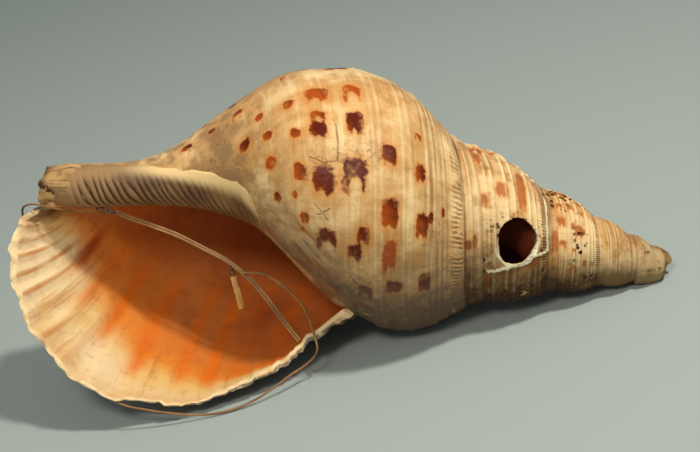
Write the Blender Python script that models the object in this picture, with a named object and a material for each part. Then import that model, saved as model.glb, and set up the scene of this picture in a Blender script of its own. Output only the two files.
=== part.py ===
"""Triton shell trumpet at rest on its back: mouth towards -Y, apex towards +X, floor at z = 0.

The shell is one growing curve carried round its coiling axis, a loft between unlike sections. It is
worked out in millimetres in the shell's own frame, with X along the axis towards the apex, azimuth 0
towards the front and 90 up, and is then turned and moved to where it rests.
"""
import math

import bmesh
import bpy
import numpy as np
from mathutils import Matrix, Vector

MM = 0.001

# Spiral. A point of the curve is (distance from the cone's apex, radius). Turns are counted back
# from the lip, which is turn 0.
SUTURE = np.array((178.6, 55.5))
GROWTH = 1.58
SPIRE_GROWTH = 1.50
FIRST_TURN = -5.6
LIP_AZIMUTH = 285.0

# The whorl's shoulder from its suture to the next one, as it is at the lip before it flares
SHOULDER = ((178.6, 55.5), (199.3, 68.4), (223.0, 84.3), (240.0, 90.0), (262.0, 92.3), (282.2, 87.7))
SPIRE_BULGE = 0.62

# The first whorls are worn stout: how much wider they are, and the turns over which that fades
APEX_WEAR = 3.6
WORN_TURNS = (-3.0, -5.0)

# The last whorl's base, from the suture line to the tip of the canal, at six turns
BASES = (
    (-1.0, ((178.6, 55.5), (188.3, 53.0), (198.9, 46.6), (217.4, 31.8), (234.4, 19.5), (258.2, 12.0), (351, 11))),
    (-0.8, ((195.7, 60.8), (206.8, 58.3), (220.0, 53.0), (233.3, 42.4), (249.2, 26.5), (267.0, 15.5), (351, 11))),
    (-0.54, ((220.5, 68.5), (230.1, 66.0), (239.7, 62.0), (250.7, 53.6), (268.7, 36.6), (286.0, 20.5), (351, 11))),
    (-0.3, ((246.0, 76.5), (256.5, 74.4), (267.5, 68.5), (281.0, 57.1), (299.6, 38.1), (316.0, 23.0), (351, 11))),
    (-0.15, ((263.5, 81.9), (275.4, 80.5), (291.6, 73.0), (306.0, 61.0), (321.0, 45.0), (334.0, 29.0), (351, 11))),
    (0.0, ((282.2, 87.7), (296.0, 85.0), (312.8, 77.0), (328.0, 63.6), (341.0, 48.0), (350.0, 34.0), (351, 11))),
)

# The outer lip's edge, shoulder and base, and the turns over which the whorl flares out to it
LIP_SHOULDER = ((178.6, 55.5), (196.2, 74.2), (210.5, 91.3), (229.6, 105.5), (249.0, 115.0), (270.0, 117.5))
LIP_BASE = ((270.0, 117.5), (290.0, 115.5), (307.5, 107.5), (323.5, 95.0), (340.0, 78.0), (352.5, 57.5),
            (360.0, 34.0), (357.0, 16.0), (351.0, 11.0))
FLARE_TURNS = 0.17

# Rounded ridges along the whorl, where an earlier lip was: turn, height in mm, half width in turns
OLD_LIP = (-1.03, 8.5, 0.05)
BACK_RIDGE = (-0.17, 7.5, 0.03)

# The canal bends down from the axis, by BEND mm at its tip
BEND_START = 228.0
BEND_LENGTH = 123.0
BEND = 20.0

# Wall and hollow: the wall's thickness at the lip, the thinnest wall, and how many turns are hollow
WALL = 3.6
THIN_WALL = 2.0
HOLLOW_TURNS = 2.2
SUTURE_FILLET = 5.0
CANAL_FLOOR = 4.0

# Blow hole, through the side of the last whorl but one: where its middle is along the axis, its
# azimuth, width, height, and how far the cutter reaches in and out of the wall
HOLE_DISTANCE = 105.0
HOLE_AZIMUTH = -3.0
HOLE_WIDTH = 20.8
HOLE_HEIGHT = 24.4
HOLE_IN = 24.0
HOLE_OUT = 48.0

# Steps of the loft: a turn outside and inside, along the shoulder and along the base
OUTER_STEPS = 36
INNER_STEPS = 24
SHOULDER_STEPS = 7
BASE_STEPS = 12

# How the shell lies: it is rolled about its axis, its apex tips down to the floor, and it is moved
# in mm so that the middle of its footprint is the origin. What touches the floor is worn flat.
REST_ROLL = -25.6
REST_PITCH = 21.7
REST_SHIFT = (182.6, 0.6, -1.7)

# Split cane. Each route is in mm where the shell rests: a strip from its knot in the canal across
# the mouth to the lip, and a finer loop that leaves the strip, passes over the lip, runs in an arc
# outside it and comes back round the canal's end to the same knot.
STRIP_DIAMETER = 2.2
STRIP_POINTS = 30
STRIP_ROUTE = (
    (-115.6, -11.1, 91.8), (-111.1, -10.7, 88.4), (-99.8, -10.5, 81.4), (-87.3, -12.6, 74.6),
    (-73.5, -17.9, 66.8), (-59.8, -23.5, 58.4), (-53.5, -26.9, 52.9), (-44.0, -33.7, 41.7),
    (-37.0, -40.9, 31.6), (-32.6, -45.4, 25.6), (-28.6, -49.7, 20.5),
)
LOOP_DIAMETER = 1.2
LOOP_POINTS = 78
LOOP_ROUTE = (
    (-53.3, -28.9, 53.9), (-48.5, -30.5, 54.1), (-43.0, -30.7, 52.8), (-35.4, -33.0, 47.1),
    (-29.1, -35.7, 40.6), (-24.7, -38.8, 35.3), (-22.4, -42.7, 29.9), (-20.7, -47.9, 23.7),
    (-19.5, -52.2, 20.0), (-19.5, -54.3, 16.6), (-21.5, -54.9, 13.2), (-26.9, -56.6, 9.8),
    (-33.8, -61.8, 8.7), (-43.0, -67.1, 5.6), (-55.2, -72.8, 2.5), (-66.8, -76.5, 1.3),
    (-75.6, -78.4, 1.9), (-84.0, -79.5, 3.5), (-92.2, -80.3, 5.9), (-100.6, -80.6, 8.5),
    (-108.7, -80.3, 11.4), (-116.2, -79.3, 13.7), (-122.9, -76.6, 15.9), (-129.3, -71.0, 17.6),
    (-136.8, -60.0, 20.7), (-144.4, -48.5, 28.2), (-152.4, -37.9, 41.1), (-158.1, -28.3, 56.2),
    (-161.5, -19.8, 70.5), (-163.6, -14.0, 83.5), (-164.6, -11.3, 92.0), (-164.3, -11.8, 99.0),
    (-162.1, -14.4, 103.7), (-156.8, -17.9, 106.5), (-151.8, -19.8, 106.4), (-146.1, -19.6, 103.7),
    (-139.1, -17.3, 99.7), (-130.9, -13.9, 96.4), (-125.0, -11.9, 94.5),
)
KNOT_PLACE = (-120.2, -11.3, 93.3)
KNOT_SIZE = (8.4, 5.2, 5.2)

# Toggle: a flat splinter that hangs from the strip by its binding
TIE_PLACE = (-59.8, -23.5, 53.7)
TIE_SIZE = (3.2, 3.2, 6.0)
TOGGLE_TOP = (-59.8, -23.5, 50.4)
TOGGLE_SIZE = (3.2, 1.1, 20.0)
TOGGLE_TAPER = 0.75


def growth(turn):
    """Size at a turn, as a share of the size at the lip."""
    turn = np.asarray(turn, float)
    last = np.log(GROWTH) * turn
    spire = np.log(SPIRE_GROWTH) * (turn + 1) - np.log(GROWTH)
    return np.exp(np.where(turn > -1, last, spire))


def ease(x, low, high):
    """0 below low, 1 above high, smooth between them."""
    t = np.clip((x - low) / (high - low), 0, 1)
    return t * t * (3 - 2 * t)


def hermite(keys, values, x):
    """Smooth curve through values at keys, read at x."""
    slopes = np.gradient(values, keys, axis=0)
    i = np.clip(np.searchsorted(keys, x, "right") - 1, 0, len(keys) - 2)
    width = keys[i + 1] - keys[i]
    shape = (-1,) + (1,) * (values.ndim - 1)
    u = ((x - keys[i]) / width).reshape(shape)
    width = width.reshape(shape)
    start = (2 * u**3 - 3 * u**2 + 1) * values[i] + (u**3 - 2 * u**2 + u) * width * slopes[i]
    end = (3 * u**2 - 2 * u**3) * values[i + 1] + (u**3 - u**2) * width * slopes[i + 1]
    return start + end


def through(points, share):
    """Smooth curve through points, read at shares of its length."""
    points = np.array(points, float)
    length = np.concatenate([[0], np.cumsum(np.linalg.norm(np.diff(points, axis=0), axis=1))])
    return hermite(length / length[-1], points, share)


def shoulders(turn, share):
    """The shoulder's curve at each turn, from one suture to the next."""
    first = SUTURE * growth(turn)[:, None]
    chord = SUTURE * growth(turn + 1)[:, None] - first
    across = np.stack([-chord[:, 1], chord[:, 0]], 1)
    model = through(SHOULDER, share) - SHOULDER[0]
    model_chord = np.subtract(SHOULDER[-1], SHOULDER[0])
    along = model @ model_chord / (model_chord @ model_chord)
    bulge = model @ np.array((-model_chord[1], model_chord[0])) / (model_chord @ model_chord)
    at, height, width = OLD_LIP
    fullness = SPIRE_BULGE + (1 - SPIRE_BULGE) * ease(turn, -1.3, -0.5)
    fullness = fullness + height / 15 * np.exp(-((turn - at) / width) ** 2)
    rise = fullness[:, None, None] * bulge[None, :, None]
    result = first[:, None] + along[None, :, None] * chord[:, None] + rise * across[:, None]
    wear = APEX_WEAR * ease(-turn, -WORN_TURNS[0], -WORN_TURNS[1])
    result[..., 1] = np.hypot(result[..., 1], wear[:, None])
    return result


def bases(turn, share):
    """The base's curve at each turn of the last whorl."""
    keys = np.array([key for key, _ in BASES])
    curves = np.array([through(points, share) for _, points in BASES])
    result = hermite(keys, curves, turn)
    result[:, 0] = SUTURE * growth(turn + 1)[:, None]
    return result


def flare(turn):
    """How far a turn has flared towards the lip, from 0 to 1."""
    return np.clip(1 + turn / FLARE_TURNS, 0, 1)[:, None, None] ** 2


def outward(curves):
    """Unit vectors across the curves, pointing out of the shell."""
    run = np.gradient(curves, axis=1)
    run = run / np.linalg.norm(run, axis=2, keepdims=True)
    return np.stack([-run[..., 1], run[..., 0]], -1)


def ridge(turn, share):
    """Height of the ridge behind the lip."""
    at, height, width = BACK_RIDGE
    along = ease(share, 0.0, 0.16) * (1 - ease(share, 0.45, 0.85))
    return height * np.exp(-((turn - at) / width) ** 2)[:, None] * along


def place(curves, turn):
    """Points in the shell's frame of curves at their turns, with the canal's bend."""
    azimuth = np.radians(LIP_AZIMUTH + 360 * turn)[:, None]
    distance, radius = curves[..., 0], curves[..., 1]
    drop = BEND * np.clip((distance - BEND_START) / BEND_LENGTH, 0, None) ** 1.2
    return np.stack([-distance, -radius * np.cos(azimuth), radius * np.sin(azimuth) - drop], -1)


def resting():
    """Matrix from the shell's frame in mm to where it rests, in metres."""
    turn = Matrix.Rotation(math.radians(REST_PITCH), 4, "Y") @ Matrix.Rotation(math.radians(REST_ROLL), 4, "X")
    return Matrix.Scale(MM, 4) @ Matrix.Translation(REST_SHIFT) @ turn


class Loft:
    """Collects the shell's points and faces."""

    def __init__(self):
        self.points = []
        self.faces = []

    def add(self, points):
        start = len(self.points)
        self.points.extend(np.reshape(points, (-1, 3)).tolist())
        return np.arange(start, len(self.points))

    def sheet(self, rows):
        """Four-sided faces between the rows of a table of point numbers."""
        rows = np.asarray(rows)
        corners = (rows[:-1, :-1], rows[1:, :-1], rows[1:, 1:], rows[:-1, 1:])
        self.faces.extend(np.stack(corners, -1).reshape(-1, 4).tolist())

    def fan(self, loop, centre):
        """Three-sided faces from a loop to the point at its centre."""
        middle = int(self.add(centre)[0])
        for a, b in zip(loop, np.roll(loop, -1)):
            self.faces.append((int(a), middle, int(b)))

    def at(self, numbers):
        return np.array([self.points[i] for i in numbers])


def outside(loft, along, across):
    """The outer surface. Returns the point numbers of the shoulders and of the last whorl's base."""
    count = round(-FIRST_TURN * OUTER_STEPS)
    turn = np.arange(-count, 1) / OUTER_STEPS
    last = turn > -1 - 0.5 / OUTER_STEPS
    upper = shoulders(turn, along)
    whole = np.concatenate([upper[last], bases(turn[last], across)[:, 1:]], 1)
    share = np.linspace(0, 1, whole.shape[1])
    whole = whole + flare(turn[last]) * lip(along, across)
    whole = whole + outward(whole) * ridge(turn[last], share)[..., None]
    upper[last] = whole[:, :len(along)]
    lower = whole[:, len(along) - 1:]

    # A shoulder ends on the suture, where the next turn's shoulder starts
    upper_points = place(upper, turn)
    starts = [loft.add(row[:-1]) for row in upper_points]
    shoulder = []
    for i, row in enumerate(starts):
        later = i + OUTER_STEPS
        end = starts[later][0] if later <= count else loft.add(upper_points[i, -1])[0]
        shoulder.append(np.append(row, end))
    shoulder = np.array(shoulder)

    # The base's first and last curves meet at the tip of the canal
    base = []
    first = count - OUTER_STEPS
    for i, row in enumerate(place(lower, turn[last])):
        numbers = loft.add(row[1:]) if i < OUTER_STEPS else loft.add(row[1:-1])
        if i == OUTER_STEPS:
            numbers = np.append(numbers, base[0][-1])
        base.append(np.append(shoulder[first + i, -1], numbers))
    base = np.array(base)
    loft.sheet(shoulder)
    loft.sheet(base)

    # Blunt apex, closed by two shrinking loops, and the canal's end
    loop = np.concatenate([shoulder[:OUTER_STEPS + 1, 0], shoulder[0, -2:0:-1]])
    rim = loft.at(loop)
    centre = rim.mean(0)
    for shrink, rise in ((0.88, 2.2), (0.55, 3.9)):
        smaller = centre + (rim - centre) * (0.5, shrink, shrink) + (rise, 0, 0)
        inner = loft.add(smaller)
        loft.sheet(np.stack([np.append(inner, inner[0]), np.append(loop, loop[0])]).T)
        loop = inner
    loft.fan(loop, centre + (4.4, 0, 0))
    tip = base[:-1, -1]
    loft.fan(tip[::-1], loft.at(tip).mean(0) - (1.0, 0, 0))
    return shoulder, base


def lip(along, across):
    """What the flare adds to the last curve at the lip's edge."""
    end = np.zeros(1)
    upper = through(LIP_SHOULDER, along) - shoulders(end, along)[0]
    lower = through(LIP_BASE, across) - bases(end, across)[0]
    return np.concatenate([upper, lower[1:]])


def hollow(loft, along, across, shoulder, base):
    """The hollow from the lip's inner edge back into the spire, and the edge between the two."""
    flared = np.linspace(0, -FLARE_TURNS, 8)
    turn = np.concatenate([flared, np.arange(-FLARE_TURNS - 1 / INNER_STEPS, -HOLLOW_TURNS, -1 / INNER_STEPS)])
    size = growth(turn)

    # Under later whorls the base is the lip's, smaller. In the last whorl it is the one outside.
    covered = bases(np.zeros(1), across) * (growth(turn + 1) / GROWTH)[:, None, None]
    open_share = ease(turn, -0.5, -0.15)[:, None, None]
    lower = covered * (1 - open_share) + bases(np.clip(turn, -1, 0), across) * open_share
    upper = shoulders(turn, along)
    lower[:, 0] = upper[:, -1]
    curves = np.concatenate([upper, lower[:, 1:]], 1)
    share = np.linspace(0, 1, curves.shape[1])

    # The outer wall's inside: in by the wall, along from the suture, and short of the canal's tip
    wall = np.maximum(WALL * size, THIN_WALL)[:, None, None]
    near_tip = ease(share, 0.75, 1.0)[None, :, None]
    near_suture = np.clip(1 - 4 * share * share.size / len(along), 0, 1)[None, :, None]
    run = curves[:, 1:2] - curves[:, :1]
    run = run / np.linalg.norm(run, axis=2, keepdims=True)
    inner = curves - outward(curves) * wall * (1 - near_tip)
    inner = inner + near_tip * size[:, None, None] * (-CANAL_FLOOR, 1.0)
    inner = inner + run * near_suture * SUTURE_FILLET * size[:, None, None]
    inner = inner + flare(turn) * lip(along, across)
    outer_rows = place(inner, turn)

    # The columella's side is the last whorl's first base, smaller
    column = bases(np.full(1, -1.0), across) * size[:, None, None]
    column_rows = place(column, turn)[:, 1:-1]
    rings = []
    for i, row in enumerate(outer_rows):
        side = base[0, 1:-1] if i == 0 else loft.add(column_rows[i])
        rings.append(np.concatenate([loft.add(row), side[::-1]]))
    rings = np.array(rings)
    loft.sheet(np.concatenate([rings, rings[:, :1]], 1))

    # Edge of the lip
    mouth = rings[0][:share.size]
    edge = np.concatenate([shoulder[-1], base[-1, 1:]])
    loft.sheet(np.stack([edge, mouth]))
    loft.faces.append((int(edge[0]), int(base[0, 1]), int(mouth[0])))
    loft.faces.append((int(mouth[-1]), int(base[0, -2]), int(edge[-1])))

    # Far end of the hollow: a fan over its wide part, a strip over its narrow one
    end = rings[-1]
    wide = len(along)
    wall_side, column_side = end[:share.size], end[share.size:][::-1]
    room = np.append(wall_side[:wide + 1], column_side[0])
    loft.fan(room, loft.at(room).mean(0))
    for i in range(len(column_side) - 1):
        a, b = wall_side[wide + i], wall_side[wide + i + 1]
        loft.faces.append((int(b), int(a), int(column_side[i]), int(column_side[i + 1])))
    loft.faces.append((int(wall_side[-1]), int(wall_side[-2]), int(column_side[-1])))


def material(name, colour, roughness):
    result = bpy.data.materials.new(name)
    result.use_nodes = True
    shader = result.node_tree.nodes["Principled BSDF"]
    shader.inputs["Base Color"].default_value = (*colour, 1)
    shader.inputs["Roughness"].default_value = roughness
    shader.inputs["Metallic"].default_value = 0
    return result


def link(name, data, collection):
    piece = bpy.data.objects.new(name, data)
    collection.objects.link(piece)
    return piece


def cut(piece, cutter):
    step = piece.modifiers.new("Cut " + cutter.name, "BOOLEAN")
    step.operation = "DIFFERENCE"
    step.solver = "EXACT"
    step.object = cutter
    cutter.hide_render = True
    cutter.display_type = "WIRE"


def blow_hole_cutter(collection):
    """A tapered oval plug through the wall, a little uneven like a hole that was pecked through."""
    plug = bmesh.new()
    bmesh.ops.create_cone(plug, cap_ends=True, segments=20, radius1=0.94, radius2=1.06, depth=1)
    for point in plug.verts:
        angle = math.atan2(point.co.y, point.co.x)
        uneven = 1 + 0.035 * math.sin(3 * angle + 0.6) + 0.025 * math.sin(5 * angle)
        point.co.x *= HOLE_WIDTH / 2 * uneven
        point.co.y *= HOLE_HEIGHT / 2 * uneven
        point.co.z = (HOLE_IN + HOLE_OUT) / 2 + point.co.z * (HOLE_OUT - HOLE_IN)
    data = bpy.data.meshes.new("blow_hole_cutter")
    plug.to_mesh(data)
    plug.free()
    azimuth = math.radians(HOLE_AZIMUTH)
    out = Vector((0, -math.cos(azimuth), math.sin(azimuth)))
    side = Vector((1, 0, 0))
    frame = Matrix((side, out.cross(side), out)).transposed().to_4x4()
    data.transform(resting() @ Matrix.Translation((-HOLE_DISTANCE, 0, 0)) @ frame)
    return link("blow_hole_cutter", data, collection)


def floor_cutter(collection):
    """A block under the floor, which wears flat what touches it."""
    block = bmesh.new()
    bmesh.ops.create_cube(block, size=1)
    data = bpy.data.meshes.new("floor_cutter")
    block.to_mesh(data)
    block.free()
    data.transform(Matrix.Translation((0, 0, -0.02)) @ Matrix.Diagonal((0.6, 0.4, 0.04, 1)))
    return link("floor_cutter", data, collection)


def shell(collection, cutters):
    along = np.linspace(0, 1, SHOULDER_STEPS + 1)
    across = np.linspace(0, 1, BASE_STEPS + 1)
    loft = Loft()
    shoulder, base = outside(loft, along, across)
    hollow(loft, along, across, shoulder, base)
    data = bpy.data.meshes.new("shell")
    data.from_pydata(loft.points, [], loft.faces)
    data.transform(resting())
    data.materials.append(material("Shell", (0.80, 0.62, 0.42), 0.45))
    data.shade_smooth()
    piece = link("shell", data, collection)
    cut(piece, blow_hole_cutter(cutters))
    cut(piece, floor_cutter(cutters))
    return piece


def cane(name, route, points, diameter, skin, collection):
    """A round strand along a smooth curve through its route."""
    curve = bpy.data.curves.new(name, "CURVE")
    curve.dimensions = "3D"
    curve.bevel_depth = diameter / 2 * MM
    curve.bevel_resolution = 2
    curve.use_fill_caps = True
    spline = curve.splines.new("POLY")
    spline.points.add(points - 1)
    for point, co in zip(spline.points, through(route, np.linspace(0, 1, points))):
        point.co = (*(co * MM), 1)
    curve.materials.append(skin)
    return link(name, curve, collection)


def lump(name, middle, size, skin, collection):
    """A small egg-shaped knot."""
    ball = bmesh.new()
    bmesh.ops.create_uvsphere(ball, u_segments=12, v_segments=8, radius=0.5)
    data = bpy.data.meshes.new(name)
    ball.to_mesh(data)
    ball.free()
    data.transform(Matrix.Diagonal((*(side * MM for side in size), 1)))
    data.materials.append(skin)
    data.shade_smooth()
    piece = link(name, data, collection)
    piece.location = Vector(middle) * MM
    return piece


def splinter(collection):
    """The toggle, a thin slat that narrows downwards from its binding."""
    slat = bmesh.new()
    bmesh.ops.create_cube(slat, size=1)
    for point in slat.verts:
        if point.co.z < 0:
            point.co.x *= TOGGLE_TAPER
            point.co.y *= TOGGLE_TAPER
        point.co.z -= 0.5
    data = bpy.data.meshes.new("toggle")
    slat.to_mesh(data)
    slat.free()
    data.transform(Matrix.Diagonal((*(side * MM for side in TOGGLE_SIZE), 1)))
    data.materials.append(material("Straw", (0.78, 0.56, 0.27), 0.6))
    piece = link("toggle", data, collection)
    piece.location = Vector(TOGGLE_TOP) * MM
    return piece


for old in list(bpy.data.objects):
    bpy.data.objects.remove(old)
parts = bpy.data.collections.new("Shell trumpet")
cutters = bpy.data.collections.new("Cutters")
bpy.context.scene.collection.children.link(parts)
bpy.context.scene.collection.children.link(cutters)
shell(parts, cutters)
strip_skin = material("Cane", (0.50, 0.31, 0.15), 0.55)
fibre_skin = material("Fibre", (0.36, 0.24, 0.15), 0.85)
cane("cane_strip", STRIP_ROUTE, STRIP_POINTS, STRIP_DIAMETER, strip_skin, parts)
cane("cane_loop", LOOP_ROUTE, LOOP_POINTS, LOOP_DIAMETER, strip_skin, parts)
lump("canal_knot", KNOT_PLACE, KNOT_SIZE, fibre_skin, parts)
lump("toggle_tie", TIE_PLACE, TIE_SIZE, fibre_skin, parts)
splinter(parts)
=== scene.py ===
"""Conch shell trumpet: a triton shell with a blow hole in its spire and split cane tied across its mouth."""

import math

import bmesh
import bpy
import numpy as np
from mathutils import Euler, Matrix, Vector


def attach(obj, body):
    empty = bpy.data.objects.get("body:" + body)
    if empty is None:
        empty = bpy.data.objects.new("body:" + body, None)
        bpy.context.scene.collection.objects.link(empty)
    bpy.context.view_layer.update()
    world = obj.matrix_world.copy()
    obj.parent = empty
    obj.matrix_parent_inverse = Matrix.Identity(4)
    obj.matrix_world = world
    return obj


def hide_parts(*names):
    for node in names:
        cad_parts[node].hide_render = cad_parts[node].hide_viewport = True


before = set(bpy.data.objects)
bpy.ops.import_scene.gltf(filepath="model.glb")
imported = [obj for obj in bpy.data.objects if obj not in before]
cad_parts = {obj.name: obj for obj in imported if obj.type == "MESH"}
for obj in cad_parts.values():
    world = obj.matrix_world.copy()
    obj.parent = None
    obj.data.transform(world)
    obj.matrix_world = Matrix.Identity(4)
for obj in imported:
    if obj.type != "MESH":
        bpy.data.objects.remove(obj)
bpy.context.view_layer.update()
MM = 0.001

# Camera, floor and light
# The camera stands in front, looks down a little and is rolled as the photograph's is. The floor is
# pale card. A warm lamp stands above on the right, a weaker one in front, and the sky is pale. The
# Standard view keeps the lit oranges from turning pink.


def in_scene(name, data):
    """A new object of this data, linked to the scene."""
    made = bpy.data.objects.new(name, data)
    bpy.context.scene.collection.objects.link(made)
    return made


lens = bpy.data.cameras.new("camera")
lens.sensor_width = 36
lens.lens = 75.687
lens.clip_start = 0.01
camera = in_scene("camera", lens)
camera.location = (0.09075, -0.70823, 0.38818)
camera.rotation_euler = Euler((math.radians(64.681), math.radians(10.664), math.radians(2.018)))
bpy.context.scene.camera = camera


def lamp(name, place, target, size, power, tint):
    """A square soft lamp at a place, turned to a target."""
    light = bpy.data.lights.new(name, "AREA")
    light.size = size
    light.energy = power
    light.color = tint
    stand = in_scene(name, light)
    stand.location = place
    stand.rotation_euler = (Vector(target) - Vector(place)).to_track_quat("-Z", "Y").to_euler()


lamp("key", (0.48, -0.18, 1.20), (-0.01, 0.0, 0.06), 0.12, 11.5, (1.0, 0.94, 0.84))
lamp("front", (-0.17, -0.90, 1.10), (-0.02, 0.0, 0.05), 0.30, 6.2, (1.0, 0.94, 0.84))
sky = bpy.data.worlds.new("sky")
sky.use_nodes = True
sky_light = sky.node_tree.nodes["Background"].inputs
sky_light["Color"].default_value = (0.86, 0.93, 0.96, 1)
sky_light["Strength"].default_value = 0.28
bpy.context.scene.world = sky
bpy.context.scene.view_settings.view_transform = "Standard"


def linear(red, green, blue):
    """A colour seen on a screen, 0 to 255, as the light that Blender mixes, with full alpha."""
    shares = [part / 255 for part in (red, green, blue)]
    return (*(s / 12.92 if s < 0.04045 else ((s + 0.055) / 1.055) ** 2.4 for s in shares), 1)


card = bpy.data.materials.new("card")
card.use_nodes = True
card_look = card.node_tree.nodes["Principled BSDF"].inputs
card_look["Base Color"].default_value = linear(164, 174, 169)
card_look["Roughness"].default_value = 0.8
sheet = bpy.data.meshes.new("floor")
sheet.from_pydata([(-6, -6, 0), (6, -6, 0), (6, 12, 0), (-6, 12, 0)], [], [(0, 1, 2, 3)])
sheet.materials.append(card)
floor = in_scene("floor", sheet)


# Split cane
# Two flat strips lie side by side from the knot in the canal across the mouth to the lip. A finer,
# half-round loop leaves them, passes over the lip and comes back round the canal's end.
STRIP_ROUTE = (
    (-115.6, -11.1, 91.8), (-111.1, -10.7, 88.4), (-99.8, -10.5, 81.4), (-87.3, -12.6, 74.6),
    (-73.5, -17.9, 66.8), (-59.8, -23.5, 58.4), (-53.5, -26.9, 52.9), (-44.0, -33.7, 41.7),
    (-37.0, -40.9, 31.6), (-32.6, -45.4, 25.6), (-28.6, -49.7, 20.5),
)
LOOP_ROUTE = (
    (-53.3, -28.9, 53.9), (-48.5, -30.5, 54.1), (-43.0, -30.7, 52.8), (-35.4, -33.0, 47.1),
    (-29.1, -35.7, 40.6), (-24.7, -38.8, 35.3), (-22.4, -42.7, 29.9), (-20.7, -47.9, 23.7),
    (-19.5, -52.2, 20.0), (-19.5, -54.3, 16.6), (-21.5, -54.9, 13.2), (-26.9, -56.6, 9.8),
    (-33.8, -61.8, 8.7), (-43.0, -67.1, 5.6), (-55.2, -72.8, 2.5), (-66.8, -76.5, 1.3),
    (-75.6, -78.4, 1.9), (-84.0, -79.5, 3.5), (-92.2, -80.3, 5.9), (-100.6, -80.6, 8.5),
    (-108.7, -80.3, 11.4), (-116.2, -79.3, 13.7), (-122.9, -76.6, 15.9), (-129.3, -71.0, 17.6),
    (-136.8, -60.0, 20.7), (-144.4, -48.5, 28.2), (-152.4, -37.9, 41.1), (-158.1, -28.3, 56.2),
    (-161.5, -19.8, 70.5), (-163.6, -14.0, 83.5), (-164.6, -11.3, 92.0), (-164.3, -11.8, 99.0),
    (-162.1, -14.4, 103.7), (-156.8, -17.9, 106.5), (-151.8, -19.8, 106.4), (-146.1, -19.6, 103.7),
    (-139.1, -17.3, 99.7), (-130.9, -13.9, 96.4), (-125.0, -11.9, 94.5),
)
FRAY_ROUTE = ((-38.2, -32.6, 50.2), (-34.6, -34.2, 48.2), (-31.4, -35.6, 45.6), (-29.8, -36.0, 42.2))


def hermite(keys, values, x):
    """Smooth curve through values at keys, read at x."""
    slopes = np.gradient(values, keys, axis=0)
    i = np.clip(np.searchsorted(keys, x, "right") - 1, 0, len(keys) - 2)
    width = keys[i + 1] - keys[i]
    shape = (-1,) + (1,) * (values.ndim - 1)
    u = ((x - keys[i]) / width).reshape(shape)
    width = width.reshape(shape)
    start = (2 * u**3 - 3 * u**2 + 1) * values[i] + (u**3 - 2 * u**2 + u) * width * slopes[i]
    end = (3 * u**2 - 2 * u**3) * values[i + 1] + (u**3 - u**2) * width * slopes[i + 1]
    return start + end


def through(points, share):
    """Smooth curve through points, read at shares of its length."""
    points = np.array(points, float)
    length = np.concatenate([[0], np.cumsum(np.linalg.norm(np.diff(points, axis=0), axis=1))])
    return hermite(length / length[-1], points, share)


def carried(points, first):
    """Unit vectors along a path, and two across it that turn with it, the second nearest to first."""
    ahead = np.gradient(points, axis=0)
    ahead /= np.linalg.norm(ahead, axis=1, keepdims=True)
    out = np.empty_like(ahead)
    last = np.array(first, float)
    for i, way in enumerate(ahead):
        last = last - way * (last @ way)
        last = last / np.linalg.norm(last)
        out[i] = last
    return ahead, np.cross(ahead, out), out


class Strands:
    """Collects closed strands, each an outline in mm carried along a path in mm."""

    def __init__(self):
        self.points = []
        self.faces = []
        self.corners = []

    def add(self, path, first, outline, aside=0.0, lift=0.0, width=1.0):
        """One strand. Aside, lift and width may change along the path."""
        path = np.asarray(path, float)
        count, sides = len(path), len(outline)
        _, across, out = carried(path, first)
        aside, lift, width = (np.broadcast_to(v, count)[:, None] for v in (aside, lift, width))
        middle = path + across * aside + out * lift
        start = len(self.points)
        ring = middle[:, None] + across[:, None] * (width * outline[:, 0])[..., None]
        ring = ring + out[:, None] * (width * outline[:, 1])[..., None]
        self.points.extend(ring.reshape(-1, 3).tolist())
        run = np.concatenate([[0], np.cumsum(np.linalg.norm(np.diff(path, axis=0), axis=1))])
        for i in range(count - 1):
            for j in range(sides):
                k = (j + 1) % sides
                self.faces.append([start + i * sides + j, start + (i + 1) * sides + j,
                                   start + (i + 1) * sides + k, start + i * sides + k])
                self.corners.append([(run[i], j / sides), (run[i + 1], j / sides),
                                     (run[i + 1], (j + 1) / sides), (run[i], (j + 1) / sides)])
        for i, order in ((0, range(sides)), (count - 1, range(sides - 1, -1, -1))):
            self.faces.append([start + i * sides + j for j in order])
            self.corners.append([(run[i], 0.5)] * sides)

    def piece(self, name, finish):
        data = bpy.data.meshes.new(name)
        data.from_pydata(np.array(self.points) * MM, [], self.faces)
        layer = data.uv_layers.new(name="Length")
        layer.data.foreach_set("uv", np.concatenate([np.ravel(c) for c in self.corners]))
        data.materials.append(finish)
        data.shade_smooth()
        data.set_sharp_from_angle(angle=math.radians(50))
        return in_scene(name, data)


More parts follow.
